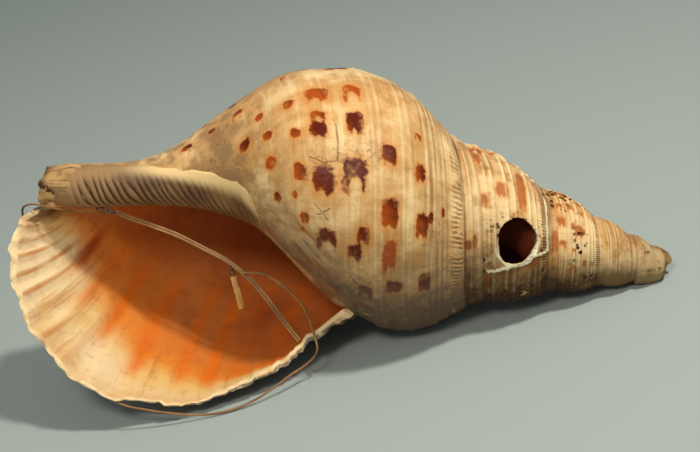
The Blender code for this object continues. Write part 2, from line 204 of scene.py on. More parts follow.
class Flow:
    """A socket in a node tree. Arithmetic on it adds Math nodes, and node adds any other."""

    def __init__(self, tree, socket=None):
        self.tree = tree
        self.socket = socket

    def node(self, kind, values=None, result=0, stops=None, **settings):
        """A node of a kind, with its settings and its sockets' values, read at one result."""
        made = self.tree.nodes.new(kind)
        for name, value in settings.items():
            setattr(made, name, value)
        for i, (place, colour) in enumerate(stops or ()):
            elements = made.color_ramp.elements
            stop = elements[i] if i < len(elements) else elements.new(place)
            stop.position = place
            stop.color = colour
        for name, value in (values or {}).items():
            if isinstance(value, Flow):
                self.tree.links.new(value.socket, made.inputs[name])
            else:
                made.inputs[name].default_value = value
        return Flow(self.tree, made.outputs[result])

    def math(self, operation, *others):
        return self.node("ShaderNodeMath", dict(enumerate((self, *others))), operation=operation)

    def __add__(self, other):
        return self.math("ADD", other)

    def __sub__(self, other):
        return self.math("SUBTRACT", other)

    def __mul__(self, other):
        return self.math("MULTIPLY", other)

    def __truediv__(self, other):
        return self.math("DIVIDE", other)

    def __rsub__(self, other):
        return self.node("ShaderNodeMath", {0: other, 1: self}, operation="SUBTRACT")

    __radd__ = __add__
    __rmul__ = __mul__

    def between(self, low, high):
        """0 at low, 1 at high, smooth between them and level outside."""
        return self.node("ShaderNodeMapRange", {"Value": self, "From Min": low, "From Max": high},
                         interpolation_type="SMOOTHSTEP")

    def hump(self, centre, half):
        """1 at centre, 0 at half either side of it."""
        return (self - centre).math("ABSOLUTE").between(half, 0.0)

    def wave(self, count, shift=0.0):
        """From 0 to 1 and back, count times in a unit."""
        return (self * (count * 2 * math.pi) + shift).math("SINE") * 0.5 + 0.5

    def mix(self, first, second):
        """Two colours, mixed by this share of the second."""
        return self.node("ShaderNodeMix", {0: self, 6: first, 7: second}, 2, data_type="RGBA")

    def noise(self, scale, detail=3.0, roughness=0.55, result=0):
        """Cloudy noise on this vector."""
        values = {"Vector": self, "Scale": scale, "Detail": detail, "Roughness": roughness}
        return self.node("ShaderNodeTexNoise", values, result)

    def parts(self):
        """The numbers in this vector."""
        made = self.tree.nodes.new("ShaderNodeSeparateXYZ")
        self.tree.links.new(self.socket, made.inputs[0])
        return [Flow(self.tree, out) for out in made.outputs]

    def vector(self, x, y, z=0.0):
        return self.node("ShaderNodeCombineXYZ", {"X": x, "Y": y, "Z": z})

    def vectors(self, operation, values, result=0):
        """A Vector Math node."""
        return self.node("ShaderNodeVectorMath", values, result, operation=operation)

    def place(self):
        """The place on the piece, in metres."""
        return self.node("ShaderNodeTexCoord", result=3)

    def laid(self, name):
        """The numbers of a piece's own map."""
        return self.node("ShaderNodeUVMap", uv_map=name).parts()

    def kept(self, name):
        """A number that the mesh keeps at its points."""
        return self.node("ShaderNodeAttribute", result=2, attribute_name=name)

    def bump(self, height, strength, distance):
        values = {"Height": height, "Strength": strength, "Distance": distance}
        return self.node("ShaderNodeBump", values)


def finish(name):
    """A new material, the start of its flow, and its shader."""
    made = bpy.data.materials.new(name)
    made.use_nodes = True
    tree = made.node_tree
    return made, Flow(tree), tree.nodes["Principled BSDF"]


def feed(flow, shader, **inputs):
    """Links flows to a shader's sockets, with spaces for the underscores in their names."""
    for name, value in inputs.items():
        flow.tree.links.new(value.socket, shader.inputs[name.replace("_", " ")])


def cane_finish(name, pale, dark):
    """Split cane: long grain along the strip, darker rind in places."""
    made, flow, shader = finish(name)
    along, around, _ = flow.laid("Length")
    place = flow.place()
    grain = flow.vector(along * 0.06, around * 9.0).noise(1.0, 5.0)
    cloud = place.noise(70.0, 3.0)
    stain = flow.vector(along * 0.05, around).noise(1.6, 2.0).between(0.55, 0.7)
    colour = grain.between(0.3, 0.7).mix(linear(*dark), linear(*pale))
    colour = (cloud.between(0.5, 0.75) * 0.5).mix(colour, linear(206, 160, 98))
    colour = (stain * 0.7).mix(colour, linear(70, 40, 16))
    bump = flow.bump(grain, 0.5, 0.0003)
    feed(flow, shader, Base_Color=colour, Roughness=0.62 - grain * 0.22, Normal=bump)
    return made


cane = cane_finish("cane", (178, 128, 70), (100, 64, 32))
face = (0.1, -0.9, 0.42)
flat = np.array([(-0.50, -0.12), (-0.34, -0.26), (0.34, -0.26), (0.50, -0.12),
                 (0.50, 0.12), (0.34, 0.26), (-0.34, 0.26), (-0.50, 0.12)])
share = np.linspace(0, 1, 110)
strip_path = through(STRIP_ROUTE, share)
strips = Strands()
beside = 0.66 + 0.08 * np.sin(share * 9.0)
strips.add(strip_path, face, flat * (1.16, 1.0), -beside, 0.06 * np.sin(share * 23), 1.02)
strips.add(strip_path, face, flat * (1.06, 1.15), beside, 0.14 * np.sin(share * 17 + 1), 1.0)
cane_strip = strips.piece("cane_strip_pair", cane)
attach(cane_strip, "root")
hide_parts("cane_strip")

share = np.linspace(0, 1, 330)
loop_path = through(LOOP_ROUTE, share)
turned = np.linspace(0, 2 * math.pi, 9)[:-1]
half_round = np.stack([0.58 * np.cos(turned), 0.46 * np.sin(turned) - 0.06], 1)
loops = Strands()
loops.add(loop_path, face, half_round, width=1.0 + 0.08 * np.sin(share * 61) + 0.05 * np.sin(share * 23))
fewer = share[::12]
loops.add(through(FRAY_ROUTE, fewer), face, half_round, width=0.85 - 0.4 * np.abs(2 * fewer - 1))
cane_loop = loops.piece("cane_loop_split", cane)
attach(cane_loop, "root")
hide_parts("cane_loop")

# Shell
# One thick natural wall coiled to the right: porcelain-like, cream with red-brown marks outside, orange
# inside. It is one growing curve carried round the axis, closed over the lip's edge and the hollow.
SUTURE = np.array((178.6, 55.5))
GROWTH = 1.58
SPIRE_GROWTH = 1.50
FIRST_TURN = -5.6
LIP_AZIMUTH = 285.0
SHOULDER = ((178.6, 55.5), (199.3, 68.4), (223.0, 84.3), (240.0, 90.0), (262.0, 92.3), (282.2, 87.7))
SPIRE_BULGE = 0.62
APEX_WEAR = 6.0
WORN_TURNS = (-3.0, -5.0)
TIP = (351, 11)
BASES = (
    (-1.0, ((178.6, 55.5), (188.3, 53.0), (198.9, 46.6), (217.4, 31.8), (234.4, 19.5), (258.2, 12.0), TIP)),
    (-0.8, ((195.7, 60.8), (206.8, 58.3), (220.0, 53.0), (233.3, 42.4), (249.2, 26.5), (267.0, 15.5), TIP)),
    (-0.54, ((220.5, 68.5), (230.1, 66.0), (239.7, 62.0), (250.7, 53.6), (268.7, 36.6), (286.0, 20.5), TIP)),
    (-0.3, ((246.0, 76.5), (256.5, 74.4), (267.5, 68.5), (281.0, 57.1), (299.6, 38.1), (316.0, 23.0), TIP)),
    (-0.15, ((263.5, 81.9), (275.4, 80.5), (291.6, 73.0), (306.0, 61.0), (321.0, 45.0), (334.0, 29.0), TIP)),
    (0.0, ((282.2, 87.7), (296.0, 85.0), (312.8, 77.0), (328.0, 63.6), (341.0, 48.0), (350.0, 34.0), TIP)),
)
LIP_SHOULDER = ((178.6, 55.5), (196.2, 74.2), (210.5, 91.3), (229.6, 105.5), (249.0, 115.0), (270.0, 117.5))
LIP_BASE = ((270.0, 117.5), (290.0, 115.5), (307.5, 107.5), (323.5, 95.0), (340.0, 78.0), (352.5, 57.5),
            (360.0, 34.0), (357.0, 16.0), (351.0, 11.0))
FLARE_TURNS = 0.17
OLD_LIP = (-1.03, 8.5, 0.05)
BACK_RIDGE = (-0.17, 7.5, 0.03)
BEND_START = 228.0
BEND_LENGTH = 123.0
BEND = 20.0
WALL = 3.6
THIN_WALL = 2.0
HOLLOW_TURNS = 2.2
SUTURE_FILLET = 5.0
GROOVE_SHARE = 0.135
BAND_SHARE = 0.205
CANAL_FLOOR = 4.0
REST = (Matrix.Scale(MM, 4) @ Matrix.Translation((182.6, 0.6, -1.7))
        @ Matrix.Rotation(math.radians(21.7), 4, "Y") @ Matrix.Rotation(math.radians(-25.6), 4, "X"))

# Steps of the mesh: a turn outside, along the shoulder and its coarser spire, and along the base
TURN_STEPS = 180
SHOULDER_STEPS = 56
BASE_STEPS = 60
FINE_FROM = -3.0
FLUTE_COUNT = 7.6
FLUTE_CROWDING = 3.6


def growth(turn):
    """Size at a turn, as a share of the size at the lip."""
    turn = np.asarray(turn, float)
    spire = np.log(SPIRE_GROWTH) * (turn + 1) - np.log(GROWTH)
    return np.exp(np.where(turn > -1, np.log(GROWTH) * turn, spire))


def ease(x, low, high):
    """0 below low, 1 above high, smooth between them."""
    t = np.clip((x - low) / (high - low), 0, 1)
    return t * t * (3 - 2 * t)


def shoulders(turn, share):
    """The shoulder's curve at each turn, from one suture to the next."""
    first = SUTURE * growth(turn)[:, None]
    chord = SUTURE * growth(turn + 1)[:, None] - first
    across = np.stack([-chord[:, 1], chord[:, 0]], 1)
    model = through(SHOULDER, share) - SHOULDER[0]
    model_chord = np.subtract(SHOULDER[-1], SHOULDER[0])
    along = model @ model_chord / (model_chord @ model_chord)
    bulge = model @ np.array((-model_chord[1], model_chord[0])) / (model_chord @ model_chord)
    at, height, width = OLD_LIP
    fullness = SPIRE_BULGE + (1 - SPIRE_BULGE) * ease(turn, -1.3, -0.5)
    fullness = fullness + height / 15 * np.exp(-((turn - at) / width) ** 2)
    rise = fullness[:, None, None] * bulge[None, :, None]
    result = first[:, None] + along[None, :, None] * chord[:, None] + rise * across[:, None]
    wear = APEX_WEAR * ease(-turn, -WORN_TURNS[0], -WORN_TURNS[1])
    result[..., 1] = np.hypot(result[..., 1], wear[:, None])
    return result


def bases(turn, share):
    """The base's curve at each turn of the last whorl."""
    keys = np.array([key for key, _ in BASES])
    curves = np.array([through(points, share) for _, points in BASES])
    result = hermite(keys, curves, turn)
    result[:, 0] = SUTURE * growth(turn + 1)[:, None]
    return result


def scallop(share):
    """The outline's waves along the lip, -1 to 1. Share is 0 at the suture and 2 at the canal's tip."""
    phase = FLUTE_COUNT * np.log(1 + FLUTE_CROWDING * (2 - share)) - 3.3
    return np.cos(np.pi * phase) * ease(share, 0.9, 1.3) * (1 - ease(share, 1.9, 2.0))


def chips(share):
    """Broken places in the lip's edge, in mm: small ones, more at the right end, and two larger bites."""
    small = 0.5 * np.sin(share * 61) + 0.35 * np.sin(share * 103 + 1) + 0.25 * np.sin(share * 157 + 2)
    rough = 0.12 + 0.6 * ease(share, 0.1, 0.25) * (1 - ease(share, 0.85, 1.0)) + 0.9 * ease(share, 1.86, 1.94)
    notch = 2.2 * np.exp(-((share - 0.255) / 0.03) ** 2)
    bite = 2.6 * ease(share, 0.965, 0.985) * (1 - ease(share, 1.10, 1.13))
    return small * rough + notch + bite


def lip(along, across):
    """What the flare adds to the last curve at the lip's edge, with its scallops and chips."""
    end = np.zeros(1)
    upper = through(LIP_SHOULDER, along) - shoulders(end, along)[0]
    lower = through(LIP_BASE, across) - bases(end, across)[0]
    added = np.concatenate([upper, lower[1:]])
    share = np.concatenate([along, 1 + across[1:]])
    length = np.linalg.norm(added, axis=1)[:, None] + 1e-6
    return added * (1 + (0.9 * scallop(share) - chips(share))[:, None] * np.minimum(1 / length, 0.1))


def flare(turn):
    """How far a turn has flared towards the lip, from 0 to 1."""
    return np.clip(1 + turn / FLARE_TURNS, 0, 1)[:, None, None] ** 2


def outward(curves):
    """Unit vectors across the curves, pointing out of the shell."""
    run = np.gradient(curves, axis=1)
    run = run / np.linalg.norm(run, axis=2, keepdims=True)
    return np.stack([-run[..., 1], run[..., 0]], -1)


def ridge(turn, share):
    """Height of the ridge behind the lip."""
    at, height, width = BACK_RIDGE
    along = ease(share, 0.0, 0.16) * (1 - ease(share, 0.45, 0.85))
    return height * np.exp(-((turn - at) / width) ** 2)[:, None] * along


def place(curves, turn):
    """Points in the shell's frame of curves at their turns, with the canal's bend."""
    azimuth = np.radians(LIP_AZIMUTH + 360 * turn)[:, None]
    distance, radius = curves[..., 0], curves[..., 1]
    drop = BEND * np.clip((distance - BEND_START) / BEND_LENGTH, 0, None) ** 1.2
    return np.stack([-distance, -radius * np.cos(azimuth), radius * np.sin(azimuth) - drop], -1)


class Loft:
    """Collects the shell's points and faces, each with its turn and its share along the curve."""

    def __init__(self):
        self.points = []
        self.spiral = []
        self.inner = []
        self.faces = []
        self.corners = []
        self.skins = []

    def add(self, points, turn, share, inner=0.0):
        flat = np.reshape(points, (-1, 3))
        start = len(self.points)
        self.points.extend(flat.tolist())
        turn, share = np.broadcast_to(turn, len(flat)), np.broadcast_to(share, len(flat))
        self.spiral.extend(np.stack([turn, share], 1).tolist())
        self.inner.extend([inner] * len(flat))
        return np.arange(start, len(self.points))

    def face(self, numbers, corners, skin):
        self.faces.append([int(n) for n in numbers])
        self.corners.append([tuple(c) for c in corners])
        self.skins.append(skin)

    def sheet(self, rows, turn, share, skin):
        """Four-sided faces between the rows of a table of point numbers."""
        rows = np.asarray(rows)
        turn = np.broadcast_to(np.reshape(turn, (-1, 1)), rows.shape)
        share = np.broadcast_to(share, rows.shape)
        spots = np.stack([turn, share], -1)
        for table, into in ((rows, self.faces), (spots, self.corners)):
            quads = np.stack([table[:-1, :-1], table[1:, :-1], table[1:, 1:], table[:-1, 1:]], 2)
            into.extend(quads.reshape(-1, *quads.shape[2:]).tolist())
        self.skins.extend([skin] * ((rows.shape[0] - 1) * (rows.shape[1] - 1)))

    def fan(self, loop, centre, turn, share, skin, inner=0.0):
        """Three-sided faces from a loop to the point at its centre."""
        middle = int(self.add(centre, turn, share, inner)[0])
        for a, b in zip(loop, np.roll(loop, -1)):
            self.face((a, middle, b), [(turn, share)] * 3, skin)

    def at(self, numbers):
        return np.array([self.points[i] for i in numbers])


OUTSIDE, INSIDE, EDGE = range(3)


def outside(loft, along, across):
    """The outer surface. Returns the point numbers of the last whorl's shoulders and base."""
    count = round(-FIRST_TURN * TURN_STEPS)
    turn = np.arange(-count, 1) / TURN_STEPS
    last = turn > -1 - 0.5 / TURN_STEPS
    upper = shoulders(turn, along)
    whole = np.concatenate([upper[last], bases(turn[last], across)[:, 1:]], 1)
    share = np.linspace(0, 1, whole.shape[1])
    whole = whole + flare(turn[last]) * lip(along, across)
    whole = whole + outward(whole) * ridge(turn[last], share)[..., None]
    upper[last] = whole[:, :len(along)]
    lower = whole[:, len(along) - 1:]

    # A shoulder ends on the suture, where the next turn's shoulder starts. The spire has half the points.
    placed = place(upper, turn)
    fine = turn > FINE_FROM
    starts = []
    for row, now, is_fine in zip(placed, turn, fine):
        step = 1 if is_fine else 2
        starts.append(loft.add(row[:-1:step], now, along[:-1:step]))
    rows = []
    for i, row in enumerate(starts):
        later = i + TURN_STEPS
        end = starts[later][0] if later <= count else loft.add(placed[i, -1], turn[i], 1.0)[0]
        rows.append(np.append(row, end))
    edge = int(np.argmax(fine))
    loft.sheet(rows[:edge], turn[:edge], along[::2], OUTSIDE)
    loft.sheet(rows[edge:], turn[edge:], along, OUTSIDE)
    coarse, finer = rows[edge - 1], rows[edge]
    for j in range(len(coarse) - 1):
        near, far = turn[edge - 1], turn[edge]
        spots = [(near, along[2 * j]), (far, along[2 * j]), (far, along[2 * j + 1]), (far, along[2 * j + 2]),
                 (near, along[2 * j + 2])]
        loft.face((coarse[j], *finer[2 * j:2 * j + 3], coarse[j + 1]), spots, OUTSIDE)

    # The base's first and last curves meet at the tip of the canal
    base = []
    first = count - TURN_STEPS
    for i, row in enumerate(place(lower, turn[last])):
        now = turn[first + i]
        numbers = loft.add(row[1:-1], now, 1 + across[1:-1])
        tip = loft.add(row[-1], now, 2.0)[0] if i < TURN_STEPS else base[0][-1]
        base.append(np.concatenate([[rows[first + i][-1]], numbers, [tip]]))
    base = np.array(base)
    loft.sheet(base, turn[last], 1 + across, OUTSIDE)

    # Blunt apex, closed by shrinking loops, and the canal's end
    loop = np.concatenate([[row[0] for row in rows[:TURN_STEPS + 1]], rows[0][-2:0:-1]])
    rim = loft.at(loop)
    centre = rim.mean(0)
    for shrink, rise in ((0.96, 1.1), (0.88, 2.2), (0.72, 3.2), (0.55, 3.9), (0.3, 4.3)):
        smaller = centre + (rim - centre) * (0.5, shrink, shrink) + (rise, 0, 0)
        ring = loft.add(smaller, FIRST_TURN, 0.0)
        loft.sheet(np.stack([np.append(ring, ring[0]), np.append(loop, loop[0])]).T, FIRST_TURN, 0.0, OUTSIDE)
        loop = ring
    loft.fan(loop, centre + (4.4, 0, 0), FIRST_TURN, 0.0, OUTSIDE)
    tip = base[:-1, -1]
    loft.fan(tip[::-1], loft.at(tip).mean(0) - (1.0, 0, 0), 0.0, 2.0, OUTSIDE)
    return rows[first:], base


def hollow(loft, along, across, shoulder, base):
    """The hollow from the lip's inner edge back into the spire, and the edge between the two."""
    turn = np.concatenate([np.linspace(0, -FLARE_TURNS, 26), -FLARE_TURNS - np.arange(1, 48) / 108,
                           np.arange(-0.63, -HOLLOW_TURNS, -1 / 42)])
    size = growth(turn)

    # Under later whorls the base is the lip's, smaller. In the last whorl it is the one outside.
    covered = bases(np.zeros(1), across) * (growth(turn + 1) / GROWTH)[:, None, None]
    open_share = ease(turn, -0.5, -0.15)[:, None, None]
    lower = covered * (1 - open_share) + bases(np.clip(turn, -1, 0), across) * open_share
    upper = shoulders(turn, along)
    lower[:, 0] = upper[:, -1]
    curves = np.concatenate([upper, lower[:, 1:]], 1)
    share = np.linspace(0, 1, curves.shape[1])

    # The outer wall's inside: in by the wall, along from the suture, and short of the canal's tip
    thinner = ease(turn, -0.05, 0.0)[:, None, None] * ease(share, 0.25, 0.45)[None, :, None]
    wall = np.maximum(WALL * size, THIN_WALL)[:, None, None] * (1 - 0.55 * thinner)
    near_tip = ease(share, 0.75, 1.0)[None, :, None]
    near_suture = np.clip(1 - 4 * share * share.size / len(along), 0, 1)[None, :, None]
    run = curves[:, 1:2] - curves[:, :1]
    run = run / np.linalg.norm(run, axis=2, keepdims=True)
    inner = curves - outward(curves) * wall * (1 - near_tip)
    inner = inner + near_tip * size[:, None, None] * (-CANAL_FLOOR, 1.0)
    inner = inner + run * near_suture * SUTURE_FILLET * size[:, None, None]
    inner = inner + flare(turn) * lip(along, across)
    outer_rows = place(inner, turn)

    # The columella's side is the last whorl's first base, smaller
    column = bases(np.full(1, -1.0), across) * size[:, None, None]
    column_rows = place(column, turn)[:, 1:-1]
    spots = np.concatenate([along, 1 + across[1:]])
    behind = 4 + across[1:-1]
    rings = []
    for i, row in enumerate(outer_rows):
        side = base[0, 1:-1] if i == 0 else loft.add(column_rows[i], turn[i], behind, 1.0)
        rings.append(np.concatenate([loft.add(row, turn[i], spots, 1.0), side[::-1]]))
    rings = np.array(rings)
    wide = len(spots)
    loft.sheet(rings[:, :wide], turn, spots, INSIDE)
    column_share = np.concatenate([[5.0], behind[::-1], [4.0]])
    loft.sheet(np.concatenate([rings[:, wide - 1:], rings[:, :1]], 1), turn, column_share, INSIDE)

    # Rounded edge of the lip
    mouth = rings[0][:wide]
    edge = np.concatenate([shoulder[-1], base[-1, 1:]])
    before = np.concatenate([shoulder[-2], base[-2, 1:]])
    ahead = loft.at(edge) - loft.at(before)
    ahead = ahead / (np.linalg.norm(ahead, axis=1, keepdims=True) + 1e-9)
    rows = [edge]
    for part in (0.18, 0.5, 0.82):
        middle = loft.at(edge) * (1 - part) + loft.at(mouth) * part
        middle = middle + ahead * 0.8 * math.sin(math.pi * part)
        numbers = loft.add(middle[1:-1], 0.0, spots[1:-1], 0.5)
        rows.append(np.concatenate([[edge[0]], numbers, [edge[-1]]]))
    rows.append(mouth)
    rows = np.array(rows)
    loft.sheet(rows[:, 1:-1], (0.0, 0.18, 0.5, 0.82, 1.0), spots[1:-1], EDGE)
    for column_at, way in ((0, 1), (-1, -1)):
        loop = rows[:, 1] if way > 0 else rows[::-1, -2]
        ends = (mouth[0], edge[0]) if way > 0 else (edge[-1], mouth[-1])
        numbers = [*loop, *ends]
        numbers = [n for i, n in enumerate(numbers) if n not in numbers[:i]]
        loft.face(numbers, [(0.0, spots[column_at])] * len(numbers), EDGE)
    loft.face((edge[0], base[0, 1], mouth[0]), [(0.0, 0.0)] * 3, EDGE)
    loft.face((mouth[-1], base[0, -2], edge[-1]), [(0.0, 2.0)] * 3, EDGE)

    # Far end of the hollow: a fan over its wide part, a strip over its narrow one
    end = rings[-1]
    room_wide = len(along)
    wall_side, column_side = end[:wide], end[wide:][::-1]
    room = np.append(wall_side[:room_wide + 1], column_side[0])
    loft.fan(room, loft.at(room).mean(0), turn[-1], 0.5, INSIDE, 1.0)
    for i in range(len(column_side) - 1):
        a, b = wall_side[room_wide + i], wall_side[room_wide + i + 1]
        loft.face((b, a, column_side[i], column_side[i + 1]), [(turn[-1], 1.5)] * 4, INSIDE)
    loft.face((wall_side[-1], wall_side[-2], column_side[-1]), [(turn[-1], 2.0)] * 3, INSIDE)


along = np.linspace(0, 1, SHOULDER_STEPS + 1)
across = np.linspace(0, 1, BASE_STEPS + 1)
loft = Loft()
last_shoulders, last_base = outside(loft, along, across)
hollow(loft, along, across, last_shoulders, last_base)
form = bpy.data.meshes.new("shell")
form.from_pydata(loft.points, [], loft.faces)
form.transform(REST)
layer = form.uv_layers.new(name="Spiral")
layer.data.foreach_set("uv", np.concatenate([np.ravel(c) for c in loft.corners]))
form.polygons.foreach_set("material_index", loft.skins)
spiral = np.array(loft.spiral)
outer = np.array(loft.inner) < 0.5


def keep(mesh, **numbers):
    """Stores named numbers at each point of a mesh."""
    for name, values in numbers.items():
        made = mesh.attributes.new(name, "FLOAT", "POINT")
        made.data.foreach_set("value", np.ascontiguousarray(values, np.float32))


keep(form, turn=spiral[:, 0], share=spiral[:, 1], inner=loft.inner)

# The inner lip's glaze reaches this far, in turns, from the mouth over the last whorl
GLAZE = np.array(((0.96, 0.05), (1.0, 0.06), (1.2, 0.085), (1.26, 0.10), (1.38, 0.24), (1.5, 0.286),
                  (1.68, 0.40), (1.85, 0.43), (2.0, 0.40)))


def glazed(share):
    return np.interp(share, GLAZE[:, 0], GLAZE[:, 1])


reach = (spiral[:, 0] + 1) / glazed(spiral[:, 1])
keep(form, glaze=(1 - ease(reach, 0.85, 1.05)) * (spiral[:, 1] > 0.97) * outer)

# Marks in the rows that the photograph shows: turn, share, half height, half width, darkness, arched or not
SEEN_MARKS = (
    (-0.767, 1.060, 0.021, 0.034, 0.95, 0), (-0.756, 0.925, 0.022, 0.075, 1.0, 1),
    (-0.722, 0.700, 0.014, 0.050, 0.8, 0), (-0.733, 0.500, 0.014, 0.038, 0.75, 0),
    (-0.758, 1.135, 0.013, 0.021, 0.5, 0), (-0.800, 1.220, 0.008, 0.015, 0.7, 0),
    (-0.792, 1.155, 0.007, 0.010, 0.3, 0), (-0.825, 1.125, 0.011, 0.016, 0.3, 1),
    (-0.845, 1.135, 0.008, 0.013, 0.3, 1), (-0.847, 1.055, 0.016, 0.032, 1.0, 1),
    (-0.828, 0.880, 0.013, 0.048, 0.95, 0), (-0.853, 0.945, 0.011, 0.055, 0.95, 0),
    (-0.796, 0.705, 0.020, 0.054, 0.55, 0), (-0.847, 0.705, 0.026, 0.050, 0.05, 0),
    (-0.803, 0.490, 0.016, 0.042, 0.55, 0), (-0.683, 0.500, 0.009, 0.028, 0.4, 1),
    (-0.686, 0.905, 0.014, 0.052, 1.0, 0), (-0.697, 1.070, 0.010, 0.028, 0.95, 0),
    (-0.678, 1.065, 0.010, 0.026, 0.4, 1), (-0.639, 1.060, 0.016, 0.040, 0.3, 0),
    (-0.636, 0.895, 0.018, 0.058, 0.2, 1), (-0.703, 1.140, 0.008, 0.022, 0.6, 0),
    (-0.692, 1.240, 0.008, 0.018, 0.4, 0), (-0.689, 1.330, 0.015, 0.024, 0.95, 0),
    (-0.742, 1.235, 0.013, 0.020, 0.2, 0), (-0.650, 1.155, 0.008, 0.020, 0.4, 0),
    (-0.644, 1.260, 0.008, 0.017, 0.4, 0), (-0.897, 0.675, 0.012, 0.058, 0.9, 0),
    (-0.889, 0.460, 0.016, 0.042, 0.9, 0), (-0.919, 0.880, 0.016, 0.050, 0.7, 1),
    (-0.789, 0.420, 0.008, 0.016, 0.7, 0), (-0.825, 0.115, 0.010, 0.025, 0.9, 0),
    (-0.775, 0.325, 0.009, 0.018, 0.7, 0), (-1.625, 0.960, 0.016, 0.060, 0.3, 0),
    (-1.728, 0.960, 0.013, 0.060, 0.4, 0), (-1.672, 0.480, 0.050, 0.055, 0.25, 0),
    (-1.697, 0.725, 0.018, 0.070, 0.1, 0), (-2.731, 0.595, 0.020, 0.070, 0.4, 0),
    (-1.783, 0.045, 0.035, 0.050, 0.2, 0), (-1.911, 0.930, 0.019, 0.060, 0.3, 0),
    (-1.844, 0.340, 0.020, 0.080, 0.2, 0), (-0.817, 0.065, 0.012, 0.018, 0.5, 0),
)
SEEN_TURNS = ((-0.93, -0.615), (-1.93, -1.60))
MARK_ROWS = ((0.49, 0.040), (0.70, 0.052), (0.91, 0.070), (1.06, 0.032), (1.14, 0.022), (1.23, 0.020),
             (1.33, 0.024), (1.43, 0.022), (1.53, 0.022))
MARK_GROWTH = (1.12, 1.10)
MARK_SQUARENESS = 3.5

seed = np.random.default_rng(11)
drawn = list(SEEN_MARKS)
for centre, half in MARK_ROWS:
    now = -3.6 if centre < 1 else -0.99
    while now < -0.02:
        now += seed.uniform(0.050, 0.085)
        dark = seed.uniform(0.3, 1.0) if now > -1.2 else seed.uniform(0.1, 0.5)
        size = seed.uniform(0.6, 1.1)
        jitter = seed.uniform(-0.15, 0.15) * half
        arched = seed.random() < 0.4
        seen = any(low < now < high for low, high in SEEN_TURNS)
        if not seen and seed.random() < 0.8:
            drawn.append((now, centre + jitter, 0.015 * size, half * size, dark, arched))
marked = np.full(len(spiral), -1.0)
darkness = np.zeros(len(spiral))
for turn_at, share_at, high, wide, dark, arched in drawn:
    high, wide = high * MARK_GROWTH[0], wide * MARK_GROWTH[1]
    near = outer & (np.abs(spiral[:, 0] - turn_at) < 3 * high) & (np.abs(spiral[:, 1] - share_at) < 3 * wide)
    rise, side = (spiral[near, 0] - turn_at) / high, (spiral[near, 1] - share_at) / wide
    leaning = side + 0.15 * rise
    bulk = np.abs(rise) ** MARK_SQUARENESS + np.abs(leaning) ** MARK_SQUARENESS
    value = 1 - bulk ** (1 / MARK_SQUARENESS)
    if arched:
        value = np.minimum(value, np.hypot(rise + 0.95, side / 0.60) - 0.92)
    elif wide > 0.03:
        value = np.minimum(value, np.hypot(rise + 1.25, (side - 0.1) / 0.42) - 0.62)
    stronger = value > marked[near]
    marked[near] = np.where(stronger, value, marked[near])
    darkness[near] = np.where(stronger, dark - 0.30 * side + 0.25 * rise, darkness[near])
keep(form, mark=marked, darkness=darkness)

# Lines over the shell, as points of turn and share: the healed scar by the blow hole, and fine cracks.
# The last pairs are the mm that a unit of turn and of share measure there.
SCAR = ((-1.878, 0.93), (-1.872, 0.80), (-1.860, 0.65), (-1.838, 0.45), (-1.822, 0.25), (-1.811, 0.145),
        (-1.744, 0.150), (-1.658, 0.130), (-1.608, 0.22), (-1.590, 0.34))
CRACKS = (((-0.737, 1.100), (-0.744, 1.060), (-0.739, 1.020), (-0.746, 0.965)),
          ((-0.800, 1.090), (-0.808, 1.065), (-0.818, 1.050)),
          ((-0.802, 1.045), (-0.808, 1.065), (-0.813, 1.085)),
          ((-0.690, 1.012), (-0.715, 1.010), (-0.738, 1.016)))
SCAR_MM = (185.0, 42.0)
CRACK_MM = (500.0, 150.0)

# Relief outside: narrow cords in pairs, in mm high, by their share along the shoulder
CORDS = ((0.035, 0.014, 0.5), (0.090, 0.014, 0.6), (0.305, 0.015, 0.5), (0.345, 0.016, 0.6),
         (0.390, 0.016, 0.5), (0.445, 0.018, 0.6), (0.565, 0.016, 0.5), (0.615, 0.016, 0.5),
         (0.760, 0.016, 0.5), (0.800, 0.016, 0.5))
SPIRE_CORDS = ((0.240, 0.022, 0.6), (0.310, 0.022, 0.8), (0.395, 0.024, 0.8), (0.585, 0.026, 1.0),
               (0.685, 0.028, 1.0), (0.840, 0.028, 0.9), (0.910, 0.022, 0.8))


def growing(name, *sizes, finish=None):
    """A tree of geometry nodes with named sizes, and a finish if it has one. Gives its flow and inputs."""
    tree = bpy.data.node_groups.new(name, "GeometryNodeTree")
    tree.interface.new_socket("Geometry", in_out="INPUT", socket_type="NodeSocketGeometry")
    tree.interface.new_socket("Geometry", in_out="OUTPUT", socket_type="NodeSocketGeometry")
    for size in sizes:
        tree.interface.new_socket(size, in_out="INPUT", socket_type="NodeSocketFloat")
    if finish:
        tree.interface.new_socket(finish, in_out="INPUT", socket_type="NodeSocketMaterial")
    given = tree.nodes.new("NodeGroupInput")
    return tree, Flow(tree), {out.name: Flow(tree, out) for out in given.outputs if out.name}


def send(tree, result):
    """Makes a geometry what the tree gives."""
    sent = tree.nodes.new("NodeGroupOutput")
    tree.links.new(result.socket, sent.inputs[0])


relief, flow, taken = growing("shell_relief", "Cord height", "Suture depth", "Flute height", "Unevenness")


def field(name):
    """A number that the mesh keeps at each point."""
    return flow.node("GeometryNodeInputNamedAttribute", {"Name": name}, data_type="FLOAT")


